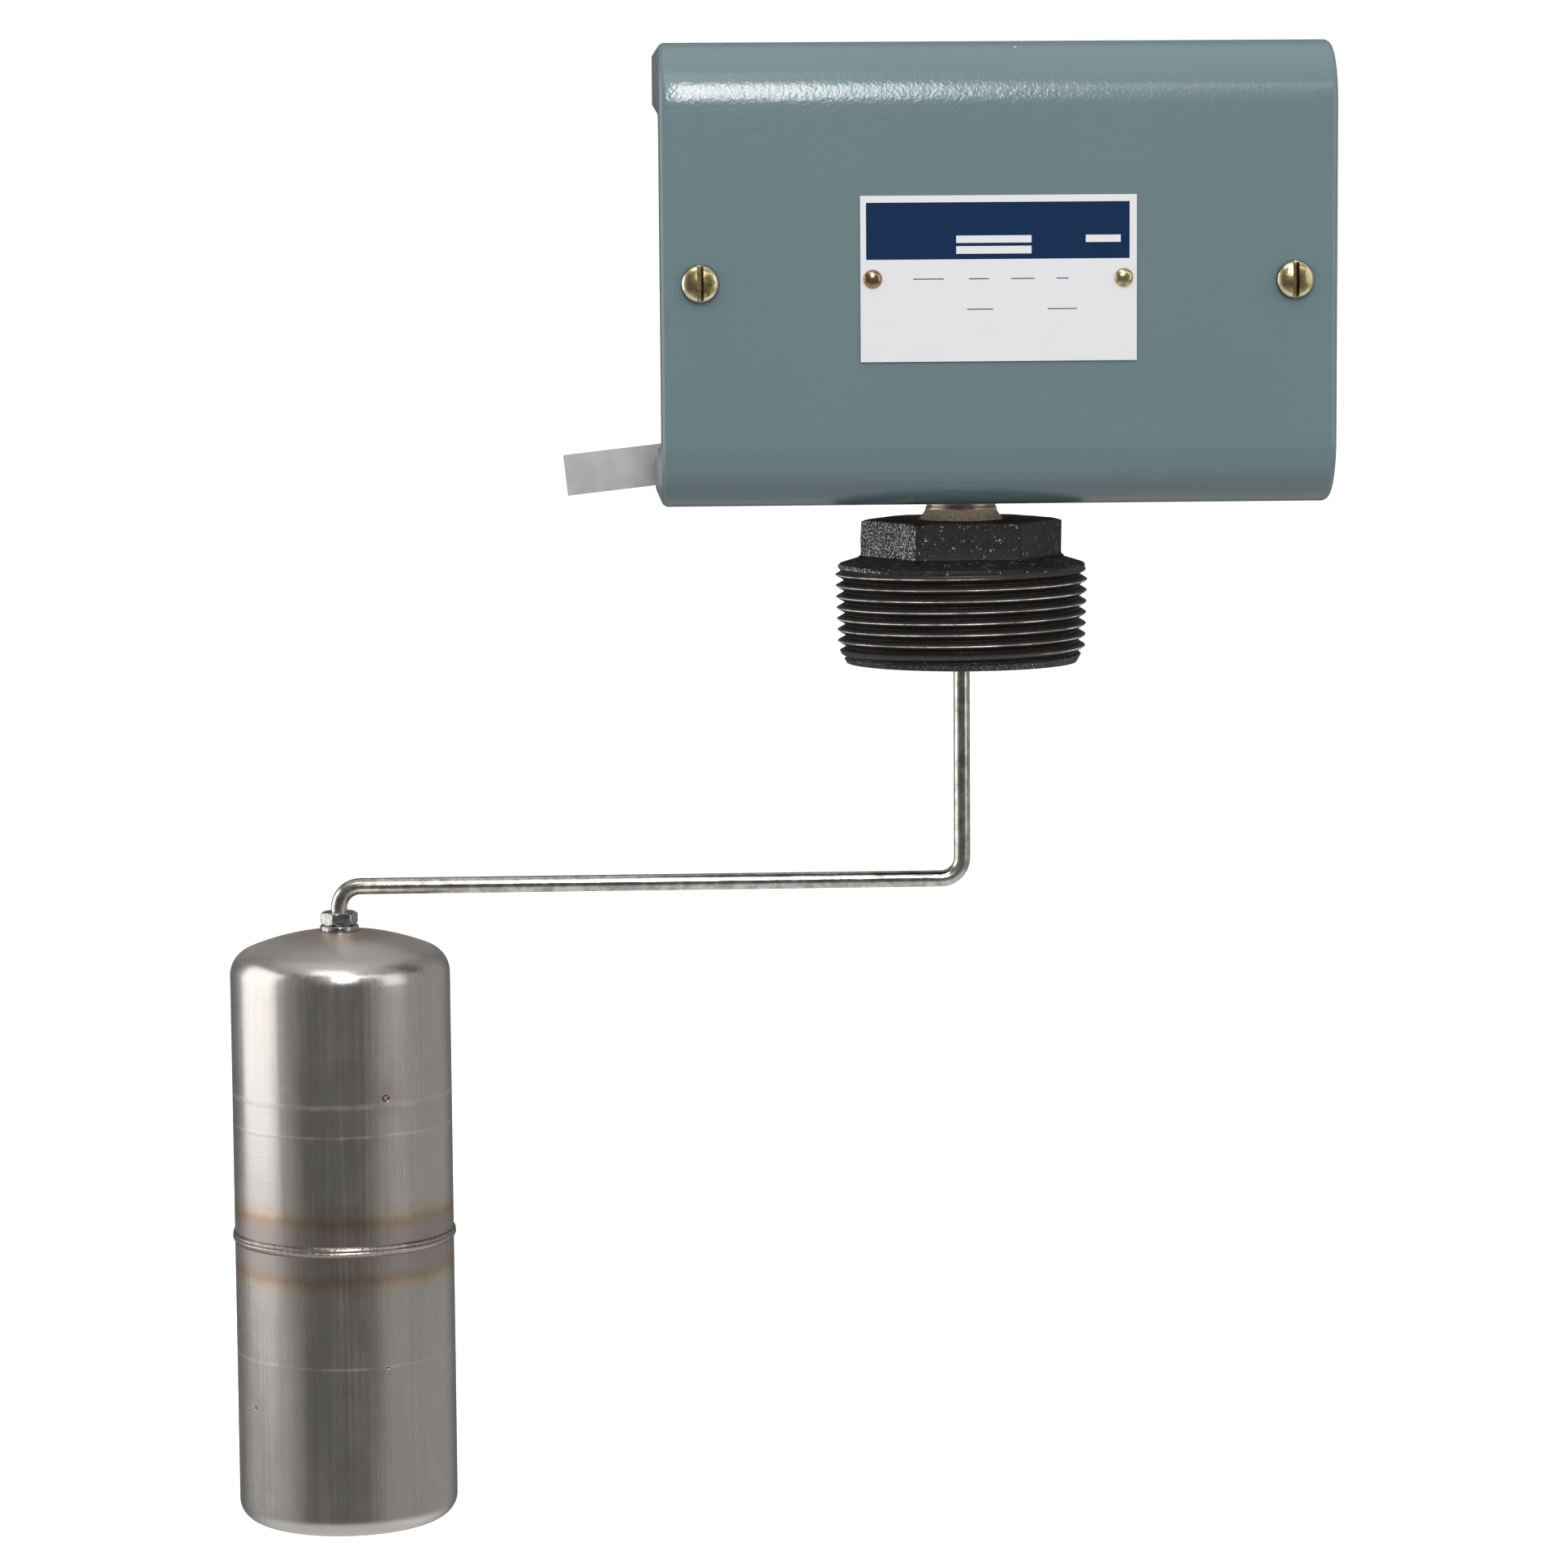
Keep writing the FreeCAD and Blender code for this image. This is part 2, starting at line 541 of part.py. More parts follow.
def make_boss():
    """Threaded boss through the crown, with a collar that seats on it."""
    collar, stem = crown_height(BOSS_RADIUS), crown_height(BOSS_STEM)
    middle = (BOSS_RADIUS + BOSS_STEM) / 2
    seat = Part.Arc(V(BOSS_RADIUS, 0, collar), V(middle, 0, crown_height(middle)),
                    V(BOSS_STEM, 0, stem)).toShape()
    corners = [(BOSS_STEM, stem), (BOSS_STEM, -85.0), (0, -85.0), (0, ROD_END), (ROD_RADIUS, ROD_END),
               (ROD_RADIUS, BOSS_TOP), (BOSS_RADIUS - 0.5, BOSS_TOP), (BOSS_RADIUS, BOSS_TOP - 0.5),
               (BOSS_RADIUS, collar)]
    points = [V(radius, 0, z) for radius, z in corners]
    edges = [Part.LineSegment(a, b).toShape() for a, b in zip(points, points[1:])]
    return spin(Part.Face(Part.Wire([seat] + edges)), FLOAT_X)


def make_jam_nut():
    nut = hexagon(JAM_NUT_ACROSS, BOSS_TOP, JAM_NUT_TOP, FLOAT_X, 12.0)
    corner = JAM_NUT_ACROSS / math.sqrt(3)
    form = turned([(0, BOSS_TOP), (corner - 0.9, BOSS_TOP), (corner, BOSS_TOP + 0.7),
                   (corner, JAM_NUT_TOP - 0.7), (corner - 0.9, JAM_NUT_TOP), (0, JAM_NUT_TOP)], FLOAT_X)
    return nut.common(form).cut(rod(ROD_RADIUS, (FLOAT_X, 0, BOSS_TOP - 1), (FLOAT_X, 0, JAM_NUT_TOP + 1)))


# ---------------------------------------------------------------- mechanism
def make_mechanism_plate():
    """One folded sheet: upright back plate, foot under the locknut, two ears for the stop screws."""
    plate = block((-72, 72), PLATE_Y, (FLOOR_TOP, 158))
    for x in ((-73, -30), (30, 73)):
        plate = plate.cut(block(x, (13, 17), (FLOOR_TOP - 1, 98)))
    foot = block((-26, 26), (-16, PLATE_Y[0]), (FLOOR_TOP, FOOT_TOP))
    plate = plate.fuse(foot)
    for x in ((-26, -24), (24, 26)):
        plate = plate.fuse(block(x, (-8, 8), (FOOT_TOP, 74)))
    for x in (-27, 23):
        plate = plate.cut(rod(TRUNNION, (x, 0, 66), (x + 4, 0, 66)))
    plate = plate.cut(rod(NIPPLE_RADIUS, (0, 0, FLOOR_TOP - 1), (0, 0, FOOT_TOP + 1)))
    for x, z, radius in stud_seats() + block_screw_seats():
        plate = plate.cut(rod(radius, (x, PLATE_Y[0] - 1, z), (x, PLATE_Y[1] + 1, z)))
    return plate.removeSplitter()


def stud_seats():
    post_x, post_radius = SPRING_POST
    return [(0, LEVER_PIVOT_Z, LEVER_STUD), (0, ROCKER_Z, ROCKER_STUD), (post_x, spring_post_z(), post_radius)]


def spring_post_z():
    """The spring's leg lies along the top of the post."""
    return LEVER_PIVOT_Z - SPRING_COIL - SPRING_WIRE - SPRING_POST[1]


def block_screw_seats():
    return [(x, z, 2.0) for x in (-66, -32, 32, 66) for z in BLOCK_SCREW_Z]


def make_stop_screws():
    """Low and high stops for the rod, threaded through the ears."""
    return group([rod(TRUNNION, (-31, 0, 66), (-ROD_RADIUS - 0.3, 0, 66)),
                  rod(TRUNNION, (9.2, 0, 66), (31, 0, 66))])


def make_lever_stud():
    stud = rod(LEVER_STUD, (0, 3.6, LEVER_PIVOT_Z), (0, PLATE_Y[1], LEVER_PIVOT_Z))
    return stud.fuse(rod(5.0, (0, LEVER_Y[1] + 0.3, LEVER_PIVOT_Z), (0, PLATE_Y[0], LEVER_PIVOT_Z)))


def make_lever_clip():
    clip = rod(5.0, (0, 4.4, LEVER_PIVOT_Z), (0, 5.2, LEVER_PIVOT_Z))
    return clip.cut(rod(LEVER_STUD, (0, 4, LEVER_PIVOT_Z), (0, 6, LEVER_PIVOT_Z)))


def make_spring_post():
    x, radius = SPRING_POST
    return rod(radius, (x, LEVER_Y[1] + 0.4, spring_post_z()), (x, PLATE_Y[1], spring_post_z()))


def make_return_spring():
    """Close-wound torsion spring round the lever's stud, as one ribbed sleeve with its fixed leg."""
    coils, pitch, rib = 3, 2 * SPRING_WIRE, SPRING_WIRE * 0.6
    outline = [(SPRING_COIL - SPRING_WIRE, 0.0), (SPRING_COIL + SPRING_WIRE - rib, 0.0)]
    for coil in range(coils):
        low = coil * pitch
        outline += [(SPRING_COIL + SPRING_WIRE, low + rib), (SPRING_COIL + SPRING_WIRE, low + pitch - rib),
                    (SPRING_COIL + SPRING_WIRE - rib, low + pitch)]
    outline.append((SPRING_COIL - SPRING_WIRE, coils * pitch))
    coil = turned(outline)
    coil.rotate(V(0, 0, 0), V(1, 0, 0), -90)
    start = PLATE_Y[0] - coils * pitch - 0.2
    coil = coil.translated(V(0, start, LEVER_PIVOT_Z))
    leg_z, leg_y = LEVER_PIVOT_Z - SPRING_COIL, start + SPRING_WIRE
    leg = rod(SPRING_WIRE, (0, leg_y, leg_z), (SPRING_POST[0] - 3, leg_y, leg_z))
    return coil.fuse(leg).removeSplitter()


def make_rocker_stud():
    return rod(ROCKER_STUD, (0, 4.0, ROCKER_Z), (0, PLATE_Y[1], ROCKER_Z))


def make_lever():
    """Flat tumbler lever: slotted at the rod, bored on its stud, with a driving stud above."""
    y0, y1 = LEVER_Y
    lever = block((-LEVER_HALF, LEVER_HALF), LEVER_Y, (77, DRIVE_STUD_Z))
    for z in (77, DRIVE_STUD_Z):
        lever = lever.fuse(rod(LEVER_HALF, (0, y0, z), (0, y1, z)))
    lever = lever.fuse(rod(9.0, (0, y0, LEVER_PIVOT_Z), (0, y1, LEVER_PIVOT_Z)))
    half = DRIVE_PIN + DRIVE_PLAY
    lever = lever.cut(block((-half, half), (y0 - 1, y1 + 1), (75.3, 80.0)))
    for z in (75.3, 80.0):
        lever = lever.cut(rod(half, (0, y0 - 1, z), (0, y1 + 1, z)))
    lever = lever.cut(rod(LEVER_STUD + LEVER_PLAY, (0, y0 - 1, LEVER_PIVOT_Z), (0, y1 + 1, LEVER_PIVOT_Z)))
    lever = lever.cut(rod(DRIVE_STUD, (0, y0 - 1, DRIVE_STUD_Z), (0, y1 + 1, DRIVE_STUD_Z)))
    return lever.removeSplitter()


def make_drive_stud():
    return rod(DRIVE_STUD, (0, -10.5, DRIVE_STUD_Z), (0, LEVER_Y[1], DRIVE_STUD_Z))


def make_carrier(bar, tail, tail_y, bridges):
    """Moulded slide: a bar that holds the bridges and a thin tail with the driving slot."""
    carrier = block(bar, CARRIER_Y, CARRIER_Z)
    carrier = carrier.fuse(block(tail, tail_y, (CARRIER_Z[0] - 1, CARRIER_Z[1])))
    half = DRIVE_STUD + DRIVE_PLAY
    carrier = carrier.cut(block((-half, half), (tail_y[0] - 1, tail_y[1] + 1), (123.8, 131.2)))
    for x in bridges:
        carrier = carrier.cut(block((x - 0.6, x + 0.6), (-9.0, -3.5), (CARRIER_Z[0] - 2, CARRIER_Z[1] + 1)))
    return carrier.removeSplitter()


def make_bridge(x):
    """Copper strip with a contact button at each end of its left face."""
    strip = block((x - 0.6, x + 0.6), (-9.0, -3.5), (CONTACT_Z[0] - 3.5, CONTACT_Z[1] + 3.5))
    for z in CONTACT_Z:
        strip = strip.fuse(rod(BUTTON, (x - 0.6 - BUTTON_THICK, -6.25, z), (x, -6.25, z)))
    return strip.removeSplitter()


def fixed_face(x):
    """Where the fixed button's face stands for the bridge at x, open by the travel and the gap."""
    return x - 0.6 - BUTTON_THICK - CARRIER_TRAVEL - CLOSED_GAP


def make_fixed_contact(x, z):
    """Brass angle with a button on its upright leg and a foot that the terminal screw clamps."""
    leg = fixed_face(x) - BUTTON_THICK
    angle = block((leg - 1.5, leg), (-9.5, 0), (z - 3.5, z + 3.5))
    angle = angle.fuse(block((leg - TERMINAL_BACK - 4.5, leg), (-1.5, 0), (z - 3.5, z + 3.5)))
    angle = angle.fuse(rod(BUTTON, (leg - 0.5, -6.25, z), (leg + BUTTON_THICK, -6.25, z)))
    screw_x = leg - TERMINAL_BACK
    return angle.cut(rod(TERMINAL_SCREW, (screw_x, -3, z), (screw_x, 1, z))).removeSplitter()


def terminal_screw(x, z):
    at = fixed_face(x) - BUTTON_THICK - TERMINAL_BACK
    screw = rod(3.2, (at, -4.1, z), (at, -1.5, z)).fuse(rod(TERMINAL_SCREW, (at, -1.6, z), (at, 7, z)))
    return screw.cut(block((at - 0.5, at + 0.5), (-5, -3), (z - 4, z + 4)))


def make_contact_block(x, bridges, guides):
    """Moulded slab with two windowed guides for the carrier and tapped terminal holes."""
    slab = block(x, (0, PLATE_Y[0]), BLOCK_Z)
    for low in guides:
        guide = block((low, low + 6), (-11.5, 0.5), (120, 136))
        window = block((low - 1, low + 7), (CARRIER_Y[0] - 0.4, CARRIER_Y[1] + 0.4),
                       (CARRIER_Z[0] - 1.3, CARRIER_Z[1] + 0.4))
        slab = slab.fuse(guide.cut(window))
    for bridge in bridges:
        for z in CONTACT_Z:
            at = fixed_face(bridge) - BUTTON_THICK - TERMINAL_BACK
            slab = slab.cut(rod(TERMINAL_SCREW, (at, -1, z), (at, 7, z)))
    for screw_x, z, radius in block_screw_seats():
        if x[0] < screw_x < x[1]:
            slab = slab.cut(rod(radius, (screw_x, 4, z), (screw_x, PLATE_Y[0] + 1, z)))
    return slab.removeSplitter()


def make_block_screws():
    """Screws from behind the mechanism plate into both contact blocks."""
    screws = []
    for x, z, radius in block_screw_seats():
        head = rod(3.6, (x, PLATE_Y[1], z), (x, PLATE_Y[1] + 2.6, z))
        screws.append(head.fuse(rod(radius, (x, 4, z), (x, PLATE_Y[1] + 0.1, z))).removeSplitter())
    return group(screws)


def make_rocker():
    """Two-armed rocker that flips over with each rise and holds back one carrier or the other."""
    y0, y1 = LEVER_Y
    outline = polygon([(-11, y0, ROCKER_Z - 9), (-8, y0, ROCKER_Z - 9), (0, y0, ROCKER_Z - 2.8),
                       (8, y0, ROCKER_Z - 9), (11, y0, ROCKER_Z - 9), (5, y0, ROCKER_Z + 6),
                       (-5, y0, ROCKER_Z + 6)])
    rocker = outline.extrude(V(0, y1 - y0, 0))
    rocker = rocker.fuse(rod(6.0, (0, y0, ROCKER_Z), (0, y1, ROCKER_Z)))
    stud_hole = rod(ROCKER_STUD + LEVER_PLAY, (0, y0 - 1, ROCKER_Z), (0, y1 + 1, ROCKER_Z))
    rocker = rocker.cut(stud_hole).removeSplitter()
    rocker.rotate(V(0, 0, ROCKER_Z), V(0, 1, 0), ROCKER_TILT)
    return rocker


LEFT_BAR, LEFT_TAIL, LEFT_TAIL_Y = (-72.0, -16.0), (-16.0, 7.5), (-9.5, -6.5)
RIGHT_BAR, RIGHT_TAIL, RIGHT_TAIL_Y = (16.0, 82.0), (-7.5, 16.0), (-5.9, -3.0)


def fixed_contacts(bridges):
    return group([make_fixed_contact(x, z) for x in bridges for z in CONTACT_Z])


def build():
    """Every node by name."""
    return {
        "cover": make_cover(),
        "cover_screws": group([slotted_screw(x) for x in COVER_SCREW_X]),
        "nameplate": make_nameplate(),
        "nameplate_rivets": group([plate_rivet(x) for x in PLATE_RIVET_X]),
        "base": tray_between(BASE_LEFT + BASE_EDGE, BASE_RIGHT - BASE_EDGE),
        "end_plate_left": tray_between(BASE_LEFT - 1, BASE_LEFT + BASE_EDGE),
        "end_plate_right": tray_between(BASE_RIGHT - BASE_EDGE, BASE_RIGHT + 1),
        "cover_lugs": make_lugs(),
        "side_tab": make_side_tab(),
        "tab_rivets": group([tab_rivet(x) for x in TAB_RIVET_X]),
        "ground_screw": make_ground_screw(),
        "nipple": make_nipple(),
        "braze_ring": make_braze_ring(),
        "nipple_locknut": make_locknut(),
        "bushing": make_bushing(),
        "hub_seal": make_hub_seal(),
        "mechanism_plate": make_mechanism_plate(),
        "stop_screws": make_stop_screws(),
        "lever_stud": make_lever_stud(),
        "lever_clip": make_lever_clip(),
        "spring_post": make_spring_post(),
        "return_spring": make_return_spring(),
        "rocker_stud": make_rocker_stud(),
        "contact_block_left": make_contact_block((-80, -18), BRIDGES_LEFT, (-74, -24)),
        "contact_block_right": make_contact_block((14, 78), BRIDGES_RIGHT, (18, 71)),
        "fixed_contacts_left": fixed_contacts(BRIDGES_LEFT),
        "fixed_contacts_right": fixed_contacts(BRIDGES_RIGHT),
        "terminal_screws": group([terminal_screw(x, z) for x in BRIDGES_LEFT + BRIDGES_RIGHT
                                  for z in CONTACT_Z]),
        "block_screws": make_block_screws(),
        "float_rod": make_float_rod(),
        "pivot_hub": make_pivot_hub(),
        "trunnions": make_trunnions(),
        "stem_head": make_stem_head(),
        "drive_pin": rod(DRIVE_PIN, (0, -4.5, DRIVE_PIN_Z), (0, 9.5, DRIVE_PIN_Z)),
        "jam_nut": make_jam_nut(),
        "float_boss": make_boss(),
        "float_upper_shell": make_upper_shell(),
        "float_lower_shell": make_lower_shell(),
        "weld_bead": make_weld_bead(),
        "tumbler_lever": make_lever(),
        "drive_stud": make_drive_stud(),
        "contact_carrier_left": make_carrier(LEFT_BAR, LEFT_TAIL, LEFT_TAIL_Y, BRIDGES_LEFT),
        "contact_bridges_left": group([make_bridge(x) for x in BRIDGES_LEFT]),
        "contact_carrier_right": make_carrier(RIGHT_BAR, RIGHT_TAIL, RIGHT_TAIL_Y, BRIDGES_RIGHT),
        "contact_bridges_right": group([make_bridge(x) for x in BRIDGES_RIGHT]),
        "alternating_rocker": make_rocker(),
    }


os.makedirs("parts", exist_ok=True)
for name, shape in build().items():
    if not shape.isValid():
        print("not valid:", name)
    shape.exportStep("parts/" + name + ".step")
    print(name, len(shape.Solids), round(shape.Volume))
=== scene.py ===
import logging
import math
from collections.abc import Callable
from dataclasses import dataclass
from enum import Enum

import bmesh
import bpy
import numpy as np
from mathutils import Matrix, Vector


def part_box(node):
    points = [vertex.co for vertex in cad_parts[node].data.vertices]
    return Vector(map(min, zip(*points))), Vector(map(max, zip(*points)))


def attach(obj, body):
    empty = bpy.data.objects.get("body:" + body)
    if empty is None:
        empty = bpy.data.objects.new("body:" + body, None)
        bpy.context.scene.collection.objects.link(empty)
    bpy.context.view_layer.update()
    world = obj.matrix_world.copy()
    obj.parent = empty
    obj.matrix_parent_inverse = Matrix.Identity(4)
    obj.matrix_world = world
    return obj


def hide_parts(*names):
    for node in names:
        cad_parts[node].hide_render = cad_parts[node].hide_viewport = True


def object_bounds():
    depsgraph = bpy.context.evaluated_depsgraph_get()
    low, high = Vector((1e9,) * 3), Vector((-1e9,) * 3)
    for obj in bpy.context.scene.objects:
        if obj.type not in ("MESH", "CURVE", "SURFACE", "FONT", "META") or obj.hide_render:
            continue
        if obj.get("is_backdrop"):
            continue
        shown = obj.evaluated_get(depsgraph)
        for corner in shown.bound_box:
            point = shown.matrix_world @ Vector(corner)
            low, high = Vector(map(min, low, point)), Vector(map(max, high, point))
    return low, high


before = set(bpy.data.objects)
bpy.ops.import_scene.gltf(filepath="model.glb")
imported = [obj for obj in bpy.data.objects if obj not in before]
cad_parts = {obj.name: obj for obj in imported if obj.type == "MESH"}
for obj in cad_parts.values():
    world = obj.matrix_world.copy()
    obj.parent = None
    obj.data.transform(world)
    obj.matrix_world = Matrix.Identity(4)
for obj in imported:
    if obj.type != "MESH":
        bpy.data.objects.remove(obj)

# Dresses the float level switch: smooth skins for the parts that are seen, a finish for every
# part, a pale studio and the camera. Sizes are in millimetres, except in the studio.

LOG = logging.getLogger("level_switch")
MM = 0.001
SIXTH = math.pi / 3
Colour = tuple[float, float, float]
Place = tuple[float, float, float]
Pair = tuple[float, float]
Grid = np.ndarray
Material = bpy.types.Material


# ---- surfaces worked out as grids
def straight(start: float | Pair, end: float | Pair, count: int) -> Grid:
    """Even steps from start to end, both included: numbers, or points of a plane."""
    return np.linspace(start, end, count)


def arc(centre: Pair, radius: float, first: float, last: float, count: int) -> Grid:
    """Points on an arc: centre plus radius times cosine and sine of angles given in degrees."""
    angle = np.radians(straight(first, last, count))
    return np.stack([centre[0] + radius * np.cos(angle), centre[1] + radius * np.sin(angle)], 1)


def join(*runs: Grid | list) -> Grid:
    """One outline out of several runs of points."""
    return np.concatenate([np.atleast_2d(np.asarray(run, float)) for run in runs])


def turn_angles(count: int) -> Grid:
    """Angles of a full turn without its last point."""
    return straight(0.0, 2 * math.pi, count + 1)[:-1]


def around(radius: Grid | float, angle: Grid, height: Grid | float, axis: float = 0.0) -> Grid:
    """Places at (axis + radius cos angle, radius sin angle, height)."""
    return np.stack(np.broadcast_arrays(axis + radius * np.cos(angle), radius * np.sin(angle),
                                        height), -1)


def revolve(outline: Grid, count: int, axis: float = 0.0) -> Grid:
    """Surface of revolution: each outline row (radius, height) goes round an upright axis."""
    return around(outline[:, :1], turn_angles(count), outline[:, 1:], axis)


def lumps(points: Grid, wavelength: float, seed: int) -> Grid:
    """Smooth pseudo-random height between about -1 and 1.

    It is the mean of eight sine waves whose directions are drawn once from the seed and whose
    lengths spread round the wavelength.

    Args:
        points: places, millimetres.
        wavelength: typical distance between lumps.
        seed: picks the waves.

    Returns:
        One height per place.
    """
    draw = np.random.default_rng(seed)
    directions = draw.normal(size=(8, 3))
    directions /= np.linalg.norm(directions, axis=1, keepdims=True)
    pace = 2 * math.pi / (wavelength * draw.uniform(0.7, 1.5, 8))
    phase = draw.uniform(0, 2 * math.pi, 8)
    return np.sin(points @ (directions * pace[:, None]).T + phase).mean(-1) * 1.8


def hexagon_radius(angle: Grid, across: float, corner: float, turn: float = 0.0) -> Grid:
    """Half the width over the cosine of the angle from the nearest flat, up to the corner's."""
    from_flat = np.mod(angle - math.radians(turn), SIXTH) - SIXTH / 2
    return np.minimum(across / 2 / np.cos(from_flat), corner)


def put(name: str, data: bpy.types.ID) -> bpy.types.Object:
    """A new object in the scene that holds the data."""
    made = bpy.data.objects.new(name, data)
    bpy.context.scene.collection.objects.link(made)
    return made


class Skin:
    """Collects grids of points, in millimetres, and makes one mesh piece of them."""

    def __init__(self, name: str) -> None:
        """Starts an empty piece of that name."""
        self.name = name
        self.points: list[Grid] = []
        self.quads: list[Grid] = []
        self.slots: list[Grid] = []
        self.count = 0

    def add(self, grid: Grid, ring: bool = False, loop: bool = False, slot: int = 0) -> "Skin":
        """Adds a grid's points and its quads.

        Args:
            grid: rows by columns by three.
            ring: whether the last column joins the first.
            loop: whether the last row joins the first.
            slot: material slot of its faces.

        Returns:
            The skin itself.
        """
        rows, columns = grid.shape[:2]
        index = np.arange(rows * columns).reshape(rows, columns) + self.count
        if ring:
            index = np.concatenate([index, index[:, :1]], 1)
        if loop:
            index = np.concatenate([index, index[:1]], 0)
        quads = np.stack([index[:-1, :-1], index[:-1, 1:], index[1:, 1:], index[1:, :-1]], -1)
        self.points.append(grid.reshape(-1, 3))
        self.quads.append(quads.reshape(-1, 4))
        self.slots.append(np.full(quads.shape[0] * quads.shape[1], slot))
        self.count += rows * columns
        return self

    def build(self, body: str, nodes: tuple[str, ...], finishes: list["Finish"], slot: str,
              sharp: float, wall: float = 0.0) -> None:
        """Args:
            body: body that it rides on.
            nodes: CAD nodes that it stands for.
            finishes: one finish per slot number.
            slot: not used.
            sharp: angle between faces above which an edge is drawn sharp, in degrees.
            wall: thickness given to an open skin, inwards, in millimetres.
        """
        points, quads = np.concatenate(self.points) * MM, np.concatenate(self.quads)
        mesh = bpy.data.meshes.new(self.name)
        mesh.from_pydata(points, [], quads)
        mesh.polygons.foreach_set("material_index", np.concatenate(self.slots))
        work = bmesh.new()
        work.from_mesh(mesh)
        bmesh.ops.remove_doubles(work, verts=work.verts, dist=2e-6)
        bmesh.ops.dissolve_degenerate(work, edges=work.edges, dist=1e-7)
        bmesh.ops.recalc_face_normals(work, faces=work.faces)
        work.to_mesh(mesh)
        work.free()
        mesh.polygons.foreach_set("use_smooth", np.ones(len(mesh.polygons), bool))
        mesh.set_sharp_from_angle(angle=math.radians(sharp))
        piece = put(self.name, mesh)
        if wall:
            shell = piece.modifiers.new("wall", "SOLIDIFY")
            shell.thickness, shell.offset, shell.use_even_offset = wall * MM, -1.0, True
        for finish in finishes:
            mesh.materials.append(finish.material())
        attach(piece, body)
        if nodes:
            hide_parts(*nodes)
        LOG.info("%s: %d faces on %s", self.name, len(mesh.polygons), body)


# ---- shader maths
def operator(name: str, swapped: bool = False) -> Callable[..., "Value"]:
    """A method that puts a Math node of that name on a value and others, swapped or in order."""
    def method(self: "Value", *others: "Value | float") -> "Value":
        """The node's result."""
        terms = (*others, self) if swapped else (self, *others)
        return self.tree.node("ShaderNodeMath", {"operation": name}, dict(enumerate(terms)))
    return method


class Value:
    """A shader socket that takes part in Python arithmetic."""

    def __init__(self, tree: "Tree", socket: bpy.types.NodeSocket) -> None:
        """Wraps a socket of a tree."""
        self.tree = tree
        self.socket = socket

    __add__ = __radd__ = operator("ADD")
    __sub__, __rsub__ = operator("SUBTRACT"), operator("SUBTRACT", True)
    __mul__ = __rmul__ = operator("MULTIPLY")
    __pow__, __abs__ = operator("POWER"), operator("ABSOLUTE")
    largest = operator("MAXIMUM")

    def rise(self, low: float, high: float) -> "Value":
        """Smooth step: 0 below low and 1 above high, or the other way round if low is larger."""
        if low > high:
            return 1.0 - self.rise(high, low)
        return self.tree.node("ShaderNodeMapRange",
                              {"interpolation_type": "SMOOTHSTEP", "clamp": True},
                              {"Value": self, "From Min": low, "From Max": high})


Number = Value | float
Tint = Value | Colour


class Grain(Enum):
    """Textures that a finish can be worked with."""

    CLOUD = "ShaderNodeTexNoise"
    CELLS = "ShaderNodeTexVoronoi"


class Tree:
    """A node tree and the means to add to it."""

    def __init__(self, owner: Material | bpy.types.World) -> None:
        """Takes the tree of a material or a world."""
        owner.use_nodes = True
        self.tree = owner.node_tree

    def node(self, kind: str, settings: dict, inputs: dict,
             output: str | int | None = 0) -> Value | bpy.types.Node:
        """Adds a node.

        Args:
            kind: the node's type.
            settings: properties that are set before its sockets.
            inputs: socket name or number to a value, a colour, a socket value or a link.
            output: the socket to return, or None for the node itself.

        Returns:
            The chosen output as a value, or the node.
        """
        made = self.tree.nodes.new(kind)
        for key, setting in settings.items():
            setattr(made, key, setting)
        self.feed(made, inputs)
        return made if output is None else Value(self, made.outputs[output])

    def feed(self, node: bpy.types.Node, inputs: dict) -> None:
        """Links a node's sockets to what varies and sets those that are constant."""
        for key, given in inputs.items():
            socket = node.inputs[key]
            if isinstance(given, Value):
                self.tree.links.new(given.socket, socket)
            else:
                colour = socket.type == "RGBA"
                socket.default_value = (*given, 1.0) if colour else given

    def parts(self, place: Value) -> tuple[Value, Value, Value]:
        """The three coordinates of a place or direction."""
        split = self.node("ShaderNodeSeparateXYZ", {}, {"Vector": place}, None)
        return tuple(Value(self, split.outputs[axis]) for axis in "XYZ")


